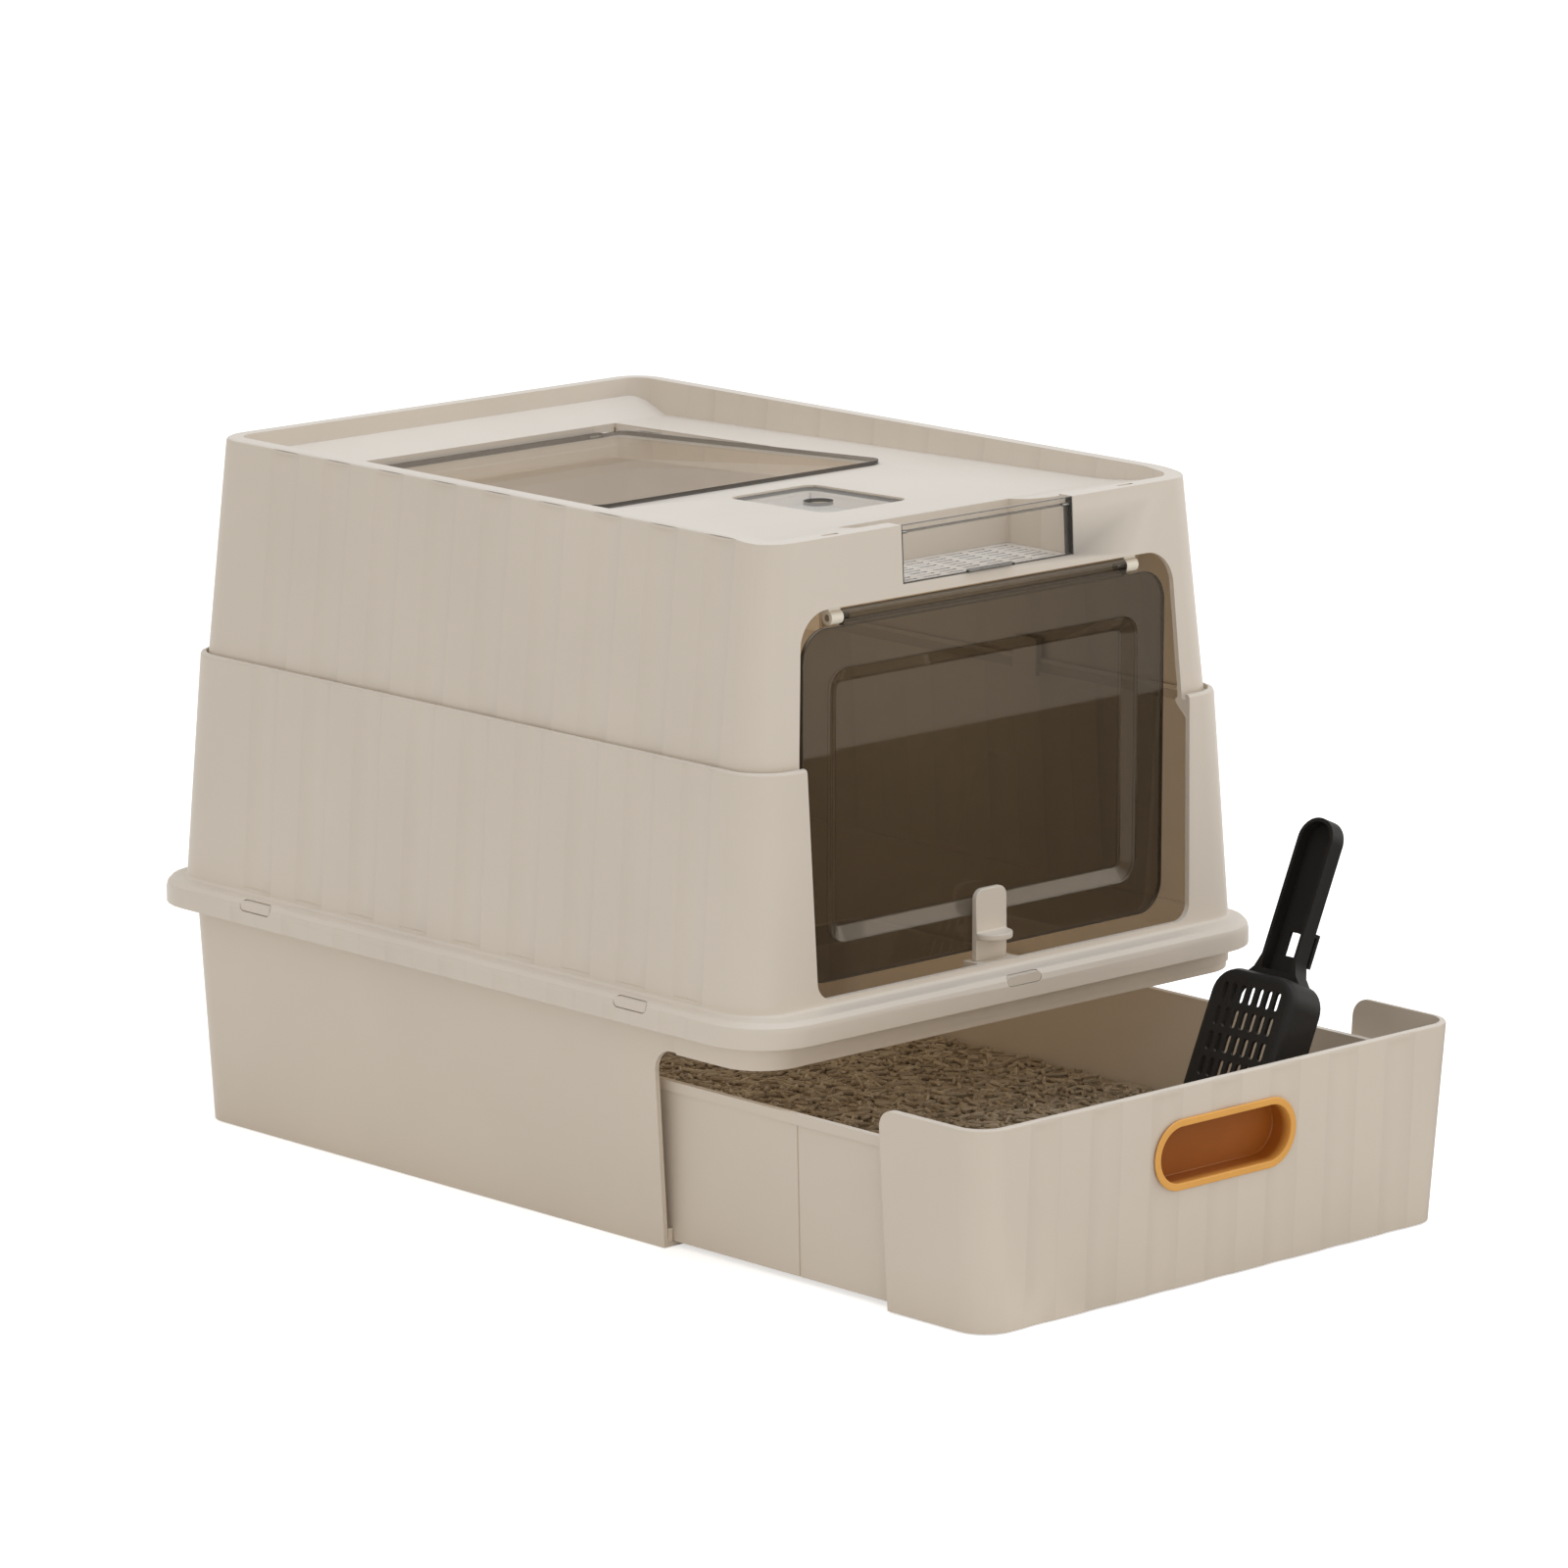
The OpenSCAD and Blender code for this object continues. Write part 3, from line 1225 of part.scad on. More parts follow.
module scoop_grip() {
  top = blade_l + grip_l;
  foot = blade_l - scoop_wall;
  heel = blade_l + neck_l / 3;
  neck = blade_l + neck_l;
  in_w = grip_w - scoop_wall;
  translate([grip_x, 0, 0]) rotate([90, 0, 90]) {
    difference() {
      linear_extrude(grip_d) round_rectangle(grip_w, foot, top, past, grip_w - 0.1);
      translate([0, 0, -past]) linear_extrude(grip_d - scoop_wall + past)
        round_rectangle(in_w, heel, top - scoop_wall, past, in_w - 0.1);
      translate([-hang_w / 2, neck + scoop_wall, 0]) cube([hang_w, hang_l, grip_d + past]);
    }
    linear_extrude(grip_d) polygon([
      [-grip_w - neck_flare, foot], [grip_w + neck_flare, foot],
      [grip_w + neck_flare / 3, heel], [grip_w, neck], [in_w, neck], [in_w, heel],
      [-in_w, heel], [-in_w, neck], [-grip_w, neck], [-grip_w - neck_flare / 3, heel]]);
  }
  translate([grip_x + grip_d, -hook_w / 2, blade_l + hook_z]) {
    translate([-past, 0, -scoop_wall]) cube([hook_out + past, hook_w, scoop_wall]);
    translate([hook_out - scoop_wall, 0, -hook_l]) cube([scoop_wall, hook_w, hook_l]);
  }
}

module scoop() {
  foot_z = litter_z + seat_gap + blade_tip_d * sin(scoop_lean);
  slant = [
    [blade_tip_d, -past], [blade_d + past, blade_slant_l],
    [blade_d + 2 * past, blade_slant_l], [blade_d + 2 * past, -past]];
  color(black) translate([scoop_x, panel_foot[1] + scoop_in, foot_z]) rotate([0, scoop_lean, 0]) {
    difference() {
      scoop_blade();
      translate([0, 2 * blade_w, 0]) rotate([90, 0, 0]) linear_extrude(4 * blade_w) polygon(slant);
    }
    scoop_grip();
  }
}

base();
rubber_pads();
drawer_runners();
lower_hood();
upper_hood();
snap_tongues();
hood_clips();
latch_guide();
latch_slider();
flap_door();
flap_brackets();
flap_pins();
top_lid();
lid_pins();
deodoriser_cup();
carbon_pad();
deodoriser_cover();
scent_tray();
pocket_cover();
pocket_pins();
drawer();
handle_cup();
litter_bed();
scoop();
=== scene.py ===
# %% [markdown]
# # Drawer litter box
# This notebook dresses a covered litter box: a tub with a pull-out drawer, a hood in two
# tiers, a tinted swing flap, a tinted top lid and a scoop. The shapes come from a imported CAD
# model that is already in real metres. Here each shell gets the rounded edges, the finish and
# the light that make it read as moulded plastic.

# %% Open the frame
import math
import random

import bpy
from mathutils import Euler, Matrix, Vector


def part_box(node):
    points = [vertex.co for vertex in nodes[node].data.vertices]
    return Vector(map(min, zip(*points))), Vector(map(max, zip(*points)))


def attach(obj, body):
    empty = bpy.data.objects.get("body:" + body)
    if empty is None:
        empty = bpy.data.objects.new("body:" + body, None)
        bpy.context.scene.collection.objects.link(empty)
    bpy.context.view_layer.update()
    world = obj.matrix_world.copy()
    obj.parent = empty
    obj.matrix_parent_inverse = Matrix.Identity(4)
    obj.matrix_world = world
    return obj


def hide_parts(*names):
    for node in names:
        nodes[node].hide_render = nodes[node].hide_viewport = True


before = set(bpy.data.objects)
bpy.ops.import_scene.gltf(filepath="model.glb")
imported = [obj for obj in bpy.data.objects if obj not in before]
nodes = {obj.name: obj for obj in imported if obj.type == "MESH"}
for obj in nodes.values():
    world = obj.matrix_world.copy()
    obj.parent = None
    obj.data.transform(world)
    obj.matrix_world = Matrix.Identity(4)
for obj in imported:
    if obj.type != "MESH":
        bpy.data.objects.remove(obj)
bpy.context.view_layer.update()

# %% [markdown]
# ## Shader maths in plain Python
# A material is a graph of nodes, and wiring each one by hand hides the idea. A small class
# wraps an output socket, so that `1 - mask` or `colour * shade` adds the Math or Mix node for
# us. A second class is the bench on which a material is built: it makes any other node.

# %% A wrapped socket
MIX_FACTOR, MIX_FIRST, MIX_SECOND, MIX_RESULT = 0, 6, 7, 2  # a Mix node's sockets for colours


class Wire:
    """An output socket that can be added, subtracted and multiplied like a number."""

    def __init__(self, bench, socket):
        self.bench = bench
        self.socket = socket

    def combine(self, operation, first, second):
        if any(isinstance(side, Wire) and side.socket.type == "RGBA" for side in (first, second)):
            settings = {"data_type": "RGBA", "blend_type": operation, "clamp_result": False}
            sockets = {MIX_FACTOR: 1.0, MIX_FIRST: as_colour(first), MIX_SECOND: as_colour(second)}
            return self.bench.make("ShaderNodeMix", settings, sockets, output=MIX_RESULT)
        return self.bench.make("ShaderNodeMath", {"operation": operation}, {0: first, 1: second})

    def __add__(self, other):
        return self.combine("ADD", self, other)

    def __radd__(self, other):
        return self.combine("ADD", other, self)

    def __sub__(self, other):
        return self.combine("SUBTRACT", self, other)

    def __rsub__(self, other):
        return self.combine("SUBTRACT", other, self)

    def __mul__(self, other):
        return self.combine("MULTIPLY", self, other)

    def __rmul__(self, other):
        return self.combine("MULTIPLY", other, self)


def as_colour(value):
    if isinstance(value, (int, float)):
        return (value, value, value, 1.0)
    return value


print("wires ready")

# %% A bench for building one material
class Bench:
    """Makes the nodes of one material or world."""

    def __init__(self, name, holder=None):
        self.holder = holder or bpy.data.materials.new(name)
        self.holder.use_nodes = True
        self.tree = self.holder.node_tree
        self.tree.nodes.clear()

    def make(self, kind, settings=None, sockets=None, output=0):
        """Adds a node, and hands back the output with this name or number."""
        node = self.tree.nodes.new(kind)
        for key, value in (settings or {}).items():
            if key == "stops":
                set_stops(node.color_ramp, value)
            else:
                setattr(node, key, value)
        for key, value in (sockets or {}).items():
            target = node.inputs[key]
            if isinstance(value, Wire):
                self.tree.links.new(value.socket, target)
            else:
                target.default_value = value
        return Wire(self, node.outputs[output])

    def finish(self, shader, kind="ShaderNodeOutputMaterial"):
        end = self.tree.nodes.new(kind)
        self.tree.links.new(shader.socket, end.inputs["Surface"])
        return self.holder


def set_stops(ramp, stops):
    """Places the colour stops of a ramp: pairs of a position and a grey or a colour."""
    while len(ramp.elements) < len(stops):
        ramp.elements.new(0.5)
    for element, (position, shade) in zip(ramp.elements, stops):
        element.position = position
        element.color = as_colour(shade)


print("bench ready")

# %% [markdown]
# ## Helpers for surfaces
# Each finish needs the same few ingredients: where a point lies on its piece, which way the
# surface faces there, smooth noise, a ramp that turns a number into a shade, and bumps. They
# could be repeated in every recipe, but as small functions they let a recipe read like a list
# of what the finish is made of. Places and directions are those of the piece itself, so a
# finish stays put when the piece moves.

# %% Places, directions, noise, ramps and bumps
def object_space(bench):
    return bench.make("ShaderNodeTexCoord", output="Object")


def one_axis(bench, arrow, axis):
    """The X, Y or Z share of a place or a direction."""
    return bench.make("ShaderNodeSeparateXYZ", {}, {"Vector": arrow}, output=axis)


def facing(bench, axis):
    """How far a surface faces along an axis: 1 with it, 0 square to it, -1 against it."""
    return one_axis(bench, bench.make("ShaderNodeTexCoord", output="Normal"), axis)


def clouds(bench, place, scale, detail=2.0):
    """Smooth grey noise, with about `scale` blobs per metre."""
    return bench.make("ShaderNodeTexNoise", {}, {"Vector": place, "Scale": scale, "Detail": detail})


def ramp(bench, factor, *stops):
    return bench.make("ShaderNodeValToRGB", {"stops": stops}, {"Fac": factor})


def relief(bench, height, depth, under=None):
    """Bumps that are `depth` metres high, on top of the bumps `under` them if there are any."""
    sockets = {"Height": height, "Distance": depth, "Strength": 1.0}
    if under:
        sockets["Normal"] = under
    return bench.make("ShaderNodeBump", {}, sockets)


def maths(bench, operation, first, second=0.0):
    return bench.make("ShaderNodeMath", {"operation": operation}, {0: first, 1: second})


def shaded(colour, factor):
    return tuple(min(1.0, c * factor) for c in colour[:3]) + (1.0,)


print("surface helpers ready")

# %% [markdown]
# ## Flutes
# Shallow upright hollows run side by side down the hood's walls and the drawer's front. The CAD
# shells have them, 0.7 mm deep, which soft light hardly shows. Deeper solids would make the
# walls uneven in thickness. So the finish repeats the same hollows as a bump, from a formula for
# how far a point lies from the middle of the nearest flute, and only on the walls that have
# them.

# %% A formula for a row of flutes
FLUTE_HALF = 0.0121
FLUTE_RELIEF = 0.0016
HOOD_PITCH, DRAWER_PITCH = 0.04624, 0.04675
BOTH_SIDES = 0
# flutes fade in as a wall turns to face its axis: none below the first, all above the second
FACING_NONE, FACING_FULL = 0.84, 0.94
# the axis that the flutes follow each other along, the axis that their walls face, the side
# they face, the middle of the first flute, the pitch and the number of flutes
HOOD_FLUTES = (("Y", "X", BOTH_SIDES, -0.19815, HOOD_PITCH, 9),
               ("X", "Y", 1, -3 * HOOD_PITCH, HOOD_PITCH, 7))
DRAWER_FLUTES = (("X", "Y", -1, -3 * DRAWER_PITCH, DRAWER_PITCH, 7),)


def hollow(bench, along, across, side, first, pitch, count):
    """1 in the middle of a flute and 0 outside it, on the walls that face along `across`."""
    spot = one_axis(bench, object_space(bench), along)
    turned = facing(bench, across)
    turned = maths(bench, "ABSOLUTE", turned) if side == BOTH_SIDES else turned * side
    steps = (spot - first) * (1 / pitch)
    nearest = maths(bench, "MAXIMUM", maths(bench, "ROUND", steps), 0.0)
    offset = maths(bench, "ABSOLUTE", steps - maths(bench, "MINIMUM", nearest, count - 1.0))
    share = maths(bench, "MINIMUM", offset * (pitch / FLUTE_HALF), 1.0)
    return (1 - share * share) * ramp(bench, turned, (FACING_NONE, 0.0), (FACING_FULL, 1.0))


print("flutes:", [row[-1] for row in HOOD_FLUTES + DRAWER_FLUTES])

# %% [markdown]
# ## Moulded plastic
# The hood and the tub are injection-moulded. Their mould is spark-eroded, which leaves an even
# grain of about half a millimetre that breaks up highlights, and the plastic itself has faint
# broad clouds of lighter and darker pigment. Painting that by hand would need an image, so noise
# in object space does it: the same recipe then fits every shell, however it is unwrapped.

# %% The recipe for moulded plastic
PLASTIC_IOR = 1.49
BROAD, WAVY, GRAIN = 7.0, 55.0, 1500.0  # blobs per metre


def moulded_plastic(name, colour, roughness, grain=0.00006, spread=0.03, shine=0.5, flutes=()):
    """`grain` is the height of the bumps and `spread` how far the pigment varies."""
    bench = Bench(name)
    place = object_space(bench)
    broad = clouds(bench, place, BROAD, 3.0)
    fine = clouds(bench, place, GRAIN)
    wavy = clouds(bench, place, WAVY, 1.0)
    tint = ramp(bench, broad, (0.3, shaded(colour, 1 - spread)), (0.7, shaded(colour, 1 + spread)))
    rough = (broad - 0.5) * 0.10 + (fine - 0.5) * 0.12 + roughness
    height = 1
    for row in flutes:
        height = height - hollow(bench, *row)
    walls = relief(bench, height, FLUTE_RELIEF) if flutes else None
    shader = bench.make("ShaderNodeBsdfPrincipled", {}, {
        "Base Color": tint, "Roughness": rough,
        "Normal": relief(bench, fine * 0.75 + wavy * 0.25, grain, walls),
        "IOR": PLASTIC_IOR, "Specular IOR Level": shine})
    return bench.finish(shader)


HOOD_WHITE = (0.700, 0.622, 0.525, 1.0)
TUB_WHITE = (0.710, 0.622, 0.515, 1.0)
BOSS_CREAM = (0.86, 0.79, 0.66, 1.0)
SCOOP_BLACK = (0.015, 0.013, 0.011, 1.0)
HOOD_ROUGH, TUB_ROUGH = 0.42, 0.46
hood_finish = moulded_plastic("hood_shell_plastic", HOOD_WHITE, HOOD_ROUGH)
fluted_finish = moulded_plastic("fluted_hood_plastic", HOOD_WHITE, HOOD_ROUGH, flutes=HOOD_FLUTES)
tub_finish = moulded_plastic("tub_plastic", TUB_WHITE, TUB_ROUGH)
drawer_finish = moulded_plastic("drawer_plastic", TUB_WHITE, TUB_ROUGH, flutes=DRAWER_FLUTES)
boss_finish = moulded_plastic("hinge_boss_plastic", BOSS_CREAM, roughness=0.36)
scoop_finish = moulded_plastic("scoop_black_plastic", SCOOP_BLACK, roughness=0.46,
                               spread=0.15, shine=0.3)
print("plastics:", hood_finish.name, tub_finish.name, boss_finish.name, scoop_finish.name)

# %% [markdown]
# ## The scent tray
# The tray behind the front window is a grille of fine slots. Each slot is so narrow that hardly
# any light gets down it, which soft studio light alone doesn't show. The upright faces of the
# tray are the walls of its slots, so the recipe darkens what doesn't face up.

# %% The recipe for slotted plastic
SLOT_SHADE = (0.10, 0.085, 0.07, 1.0)
UPRIGHT, LEVEL = 0.30, 0.80  # how far a face looks up


def slotted_plastic(name, colour, shade):
    bench = Bench(name)
    fine = clouds(bench, object_space(bench), GRAIN)
    tint = ramp(bench, facing(bench, "Z"), (UPRIGHT, shade), (LEVEL, colour))
    shader = bench.make("ShaderNodeBsdfPrincipled", {}, {
        "Base Color": tint, "Roughness": fine * 0.1 + 0.38, "Normal": relief(bench, fine, 0.00006)})
    return bench.finish(shader)


tray_finish = slotted_plastic("scent_tray_plastic", HOOD_WHITE, SLOT_SHADE)
print("tray:", tray_finish.name)

# %% [markdown]
# ## Tinted sheets
# The flap and the lid are smoke-brown acrylic, polished on both faces. Real refraction would be
# slow and noisy here, because everything behind the sheet is lit through it. A smooth shader
# with an alpha lets that light through directly.
#
# A real sheet looks dark and dense at its rim and along each bend, where light has more of it
# to cross. A Bevel node gives the normal that a small round on every edge would have. Where it
# and the sheet's own normal disagree there is an edge, and the colour and the alpha go over to
# those of the rim. The facing value of Layer Weight adds density where a sheet is seen edge on,
# and Specular Tint warms what the flap reflects.

# %% Where a sheet has its rim and its bends
EDGE_ROUND = 0.0011
# a wall of the rim faces along the sheet, so it scores low on facing across it
WALL_FULL, WALL_NONE = 0.60, 0.78
# at a bend the rounded normal and the sheet's own agree less well than 1
BEND_FULL, BEND_NONE = 0.968, 0.994


def rim_of_sheet(bench, across, rounded):
    """1 on a sheet's rim and along its bends, and 0 on its faces."""
    flat = maths(bench, "ABSOLUTE", facing(bench, across))
    wall = ramp(bench, flat, (WALL_FULL, 1.0), (WALL_NONE, 0.0))
    straight = bench.make("ShaderNodeNewGeometry", output="Normal")
    agree = bench.make("ShaderNodeVectorMath", {"operation": "DOT_PRODUCT"},
                       {0: rounded, 1: straight}, output="Value")
    bend = ramp(bench, agree, (BEND_FULL, 1.0), (BEND_NONE, 0.0))
    return maths(bench, "MAXIMUM", wall, bend)


def blended(bench, factor, first, second):
    """A colour that goes over from the first to the second."""
    return bench.make("ShaderNodeMix", {"data_type": "RGBA"},
                      {MIX_FACTOR: factor, MIX_FIRST: first, MIX_SECOND: second}, output=MIX_RESULT)


print("edges of sheets are rounded by", round(EDGE_ROUND * 1000, 1), "mm")

# %% The recipe for a tinted sheet
# painted highlight: the lighter colour of faces that look up on an upright sheet
PAINTED_TOP_HIGHLIGHT = (0.34, 0.31, 0.27, 1.0)
WHITE = (1.0, 1.0, 1.0, 1.0)


def tinted_sheet(name, colour, density, rim_colour, rim_density, across, reflected=WHITE):
    """A density of 1 hides what is behind. `across` is the axis through the sheet's thickness.

    An upright sheet also has a top edge: its faces that look up get a painted highlight, a lighter
    colour for the light from above.
    """
    bench = Bench(name)
    rounded = bench.make("ShaderNodeBevel", {"samples": 6}, {"Radius": EDGE_ROUND})
    rim = rim_of_sheet(bench, across, rounded)
    edge_on = bench.make("ShaderNodeLayerWeight", {}, {"Blend": 0.25}, output="Facing")
    smears = clouds(bench, object_space(bench), 30.0, 4.0)
    body = ramp(bench, smears, (0.3, shaded(colour, 0.94)), (0.7, shaded(colour, 1.06)))
    tint = blended(bench, rim, body, rim_colour)
    if across != "Z":
        # painted highlight: faces that look up go over to a lighter colour
        lit = ramp(bench, facing(bench, "Z"), (0.35, 0.0), (0.75, 1.0))
        tint = blended(bench, lit, tint, PAINTED_TOP_HIGHLIGHT)
    shader = bench.make("ShaderNodeBsdfPrincipled", {}, {
        "Base Color": tint, "Roughness": smears * 0.02 + 0.005,
        "Alpha": rim * (rim_density - density) + edge_on * edge_on * (1 - rim_density) + density,
        "Normal": rounded, "IOR": PLASTIC_IOR, "Specular Tint": reflected})
    return bench.finish(shader)


print("colour of a lit top edge:", PAINTED_TOP_HIGHLIGHT[:3])

# %% The flap, the lid and the two clear covers
RIM_BROWN = (0.014, 0.012, 0.010, 1.0)
RIM_GREY = (0.03, 0.027, 0.024, 1.0)
WARM = (1.0, 0.84, 0.66, 1.0)
smoke_finish = tinted_sheet("smoke_acrylic", (0.022, 0.015, 0.008, 1.0), density=0.53,
                            rim_colour=RIM_BROWN, rim_density=0.86, across="Y", reflected=WARM)
lid_finish = tinted_sheet("smoke_lid_acrylic", (0.500, 0.405, 0.300, 1.0), density=0.26,
                          rim_colour=RIM_GREY, rim_density=0.86, across="Z")
cover_finish = tinted_sheet("clear_cover_acrylic", (0.78, 0.71, 0.62, 1.0), density=0.20,
                            rim_colour=RIM_GREY, rim_density=0.86, across="Z")
clear_finish = tinted_sheet("clear_acrylic", (0.32, 0.29, 0.25, 1.0), density=0.06,
                            rim_colour=RIM_GREY, rim_density=0.90, across="Y")
print("sheets:", smoke_finish.name, lid_finish.name, cover_finish.name, clear_finish.name)

# %% [markdown]
# ## Pins and felt
# The pins are turned steel, whose fine rings run round the pin's own axis: bands of a wave
# along that axis make them. The deodoriser pad is felt. Real fibres would be thousands of hairs
# in a place that hardly shows, so fine noise gives it dark and light specks and a fuzzy bump.

# %% Recipes for steel and felt
STEEL = (0.60, 0.58, 0.56, 1.0)
RINGS_SCALE = 900.0
FELT_GREY = (0.56, 0.53, 0.47, 1.0)
FIBRE_SCALE = 900.0


def turned_steel(name, colour):
    bench = Bench(name)
    place = object_space(bench)
    rings = bench.make("ShaderNodeTexWave", {"wave_type": "BANDS", "bands_direction": "X"},
                       {"Vector": place, "Scale": RINGS_SCALE, "Distortion": 1.5})
    shader = bench.make("ShaderNodeBsdfPrincipled", {}, {
        "Base Color": colour, "Metallic": 1.0,
        "Roughness": rings * 0.12 + 0.24, "Normal": relief(bench, rings, 0.00001)})
    return bench.finish(shader)


def felt(name, colour):
    bench = Bench(name)
    fibres = clouds(bench, object_space(bench), FIBRE_SCALE, 6.0)
    shader = bench.make("ShaderNodeBsdfPrincipled", {}, {
        "Base Color": ramp(bench, fibres, (0.3, shaded(colour, 0.6)), (0.7, shaded(colour, 1.4))),
        "Roughness": fibres * 0.1 + 0.85, "Normal": relief(bench, fibres, 0.0006),
        "Sheen Weight": 0.3})
    return bench.finish(shader)


steel_finish = turned_steel("pin_steel", STEEL)
felt_finish = felt("carbon_felt", FELT_GREY)
print("small finishes:", steel_finish.name, felt_finish.name)

# %% [markdown]
# ## The caramel pull and the rubber pads
# The pull is a glossy, slightly clear plastic, bright at its ring. The shade that falls into
# its cup is painted: a ramp along the depth of the cup, measured from the piece's own box,
# darkens the colour towards the cup's floor. The pads are the plastic recipe again, only
# darker, duller and coarser.

# %% Recipes for the pull and the pads
CARAMEL_RING = (0.850, 0.420, 0.090, 1.0)
# painted shade: the darker colour at the bottom of the pull's cup, where shade falls
CARAMEL_PAINTED_SHADE = (0.370, 0.110, 0.012, 1.0)
RING_ENDS, PAINTED_SHADE_STARTS = 0.10, 0.45  # shares of the way from the ring to the cup's floor
RUBBER_BLACK = (0.045, 0.044, 0.042, 1.0)


def caramel(name, ring_colour, painted_shade_colour):
    low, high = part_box("handle_cup")
    bench = Bench(name)
    place = object_space(bench)
    depth = (one_axis(bench, place, "Y") - low.y) * (1 / (high.y - low.y))
    smears = clouds(bench, place, 40.0, 3.0)
    # painted shade: the colour darkens from the ring towards the cup's floor
    tint = ramp(bench, depth, (RING_ENDS, ring_colour), (PAINTED_SHADE_STARTS, painted_shade_colour))
    shader = bench.make("ShaderNodeBsdfPrincipled", {}, {
        "Base Color": tint * (smears * 0.2 + 0.9), "Roughness": smears * 0.08 + 0.34,
        "Normal": relief(bench, smears, 0.00003),
        "IOR": PLASTIC_IOR, "Specular IOR Level": 0.5})
    return bench.finish(shader)


pull_finish = caramel("pull_caramel_plastic", CARAMEL_RING, CARAMEL_PAINTED_SHADE)
rubber_finish = moulded_plastic("pad_rubber", RUBBER_BLACK, roughness=0.72, grain=0.0001)
print("small finishes:", pull_finish.name, rubber_finish.name)

# %% [markdown]
# ## Even shading
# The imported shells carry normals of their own, and triangles that meet at seams. Their shapes
# are right, but long thin triangles would catch the light as streaks. The shells keep their
# meshes, and a small geometry node group does the rest without touching them: it welds the
# seams, forgets the stored normals and shades smoothly.
#
# The tinted sheets need crisp bends as well, because the sloped border of a sunk pane would
# blur away. Their group also keeps the line of the slight bends of a slope and of true corners,
# by the angle at each edge.

# %% Two node groups for shading
WELD_GAP = 0.000004
SLOPE_BENDS = (4.3, 5.45)  # degrees: the edges of a sloped border
TRUE_CORNER = 24  # degrees: from here on, an edge is a corner


def crease_node(group):
    """Marks the edges whose angle lies among SLOPE_BENDS or above TRUE_CORNER."""
    crease = group.nodes.new("GeometryNodeSetShadeSmooth")
    crease.domain = "EDGE"
    crease.inputs["Shade Smooth"].default_value = False
    bend = group.nodes.new("GeometryNodeInputMeshEdgeAngle")
    both = group.nodes.new("FunctionNodeBooleanMath")
    either = group.nodes.new("FunctionNodeBooleanMath")
    either.operation = "OR"
    for goal, operation, limit in ((both.inputs[0], "GREATER_THAN", SLOPE_BENDS[0]),
                                   (both.inputs[1], "LESS_THAN", SLOPE_BENDS[1]),
                                   (either.inputs[1], "GREATER_THAN", TRUE_CORNER)):
        test = group.nodes.new("FunctionNodeCompare")
        test.operation = operation
        test.inputs[1].default_value = math.radians(limit)
        group.links.new(bend.outputs[0], test.inputs[0])
        group.links.new(test.outputs[0], goal)
    group.links.new(both.outputs[0], either.inputs[0])
    group.links.new(either.outputs[0], crease.inputs["Selection"])
    return crease


def shading_group(name, creased):
    group = bpy.data.node_groups.new(name, "GeometryNodeTree")
    for way in ("INPUT", "OUTPUT"):
        group.interface.new_socket("Geometry", in_out=way, socket_type="NodeSocketGeometry")
    weld = group.nodes.new("GeometryNodeMergeByDistance")
    weld.inputs["Distance"].default_value = WELD_GAP
    forget = group.nodes.new("GeometryNodeRemoveAttribute")
    forget.inputs["Name"].default_value = "custom_normal"
    smooth = group.nodes.new("GeometryNodeSetShadeSmooth")
    chain = [group.nodes.new("NodeGroupInput"), weld, forget, smooth]
    if creased:
        chain.append(crease_node(group))
    chain.append(group.nodes.new("NodeGroupOutput"))
    for a, b in zip(chain, chain[1:]):
        group.links.new(a.outputs[0], b.inputs[0])
    return group


even_shading = shading_group("even_shading", creased=False)
crisp_shading = shading_group("crisp_shading", creased=True)
print("shading groups:", even_shading.name, crisp_shading.name)

# %% [markdown]
# ## Rounded edges
# A moulded part never has a razor edge: the mould's corners are worn to a few tenths of a
# millimetre, and that thin round catches the light all along an edge. Rounding the CAD solids
# would cost thousands of faces, so modifiers do it: join the flat faces, bevel what is sharp,
# and weight the normals by face area so that the big flat walls stay flat. The sheets, the
# grille and other fine pieces get no bevel, because it would eat into their thin shapes.

# %% Rounding a shell
FLAT_ANGLE = math.radians(0.2)
SOFT_ANGLE = math.radians(28)
NORMAL_WEIGHT = 60


def soften(piece, width, shading):
    """Welds, joins flat faces, rounds sharp edges and weights the normals of a piece."""
    piece.modifiers.new("shading", "NODES").node_group = shading
    flat = piece.modifiers.new("join_flat_faces", "DECIMATE")
    flat.decimate_type = "DISSOLVE"
    flat.angle_limit = FLAT_ANGLE
    if width:
        edge = piece.modifiers.new("rounded_edges", "BEVEL")
        edge.width = width
        edge.segments = 2
        edge.limit_method = "ANGLE"
        edge.angle_limit = SOFT_ANGLE
        edge.miter_outer = "MITER_ARC"
        edge.use_clamp_overlap = True
        edge.harden_normals = False
    weigh = piece.modifiers.new("even_normals", "WEIGHTED_NORMAL")
    weigh.mode = "FACE_AREA"
    weigh.weight = NORMAL_WEIGHT
    weigh.keep_sharp = True


def finish_in(piece, material):
    piece.data.materials.clear()
    piece.data.materials.append(material)


print("edges sharper than", round(math.degrees(SOFT_ANGLE)), "degrees get rounded")

# %% [markdown]
# ## Dressing the shells
# Each piece takes a finish and the width of its rounded edges in metres. One table keeps the
# whole box in view: what is made of the same plastic stands together, and a change of one
# finish is a change of one word. The pieces stay the CAD's own, each with a new coat.

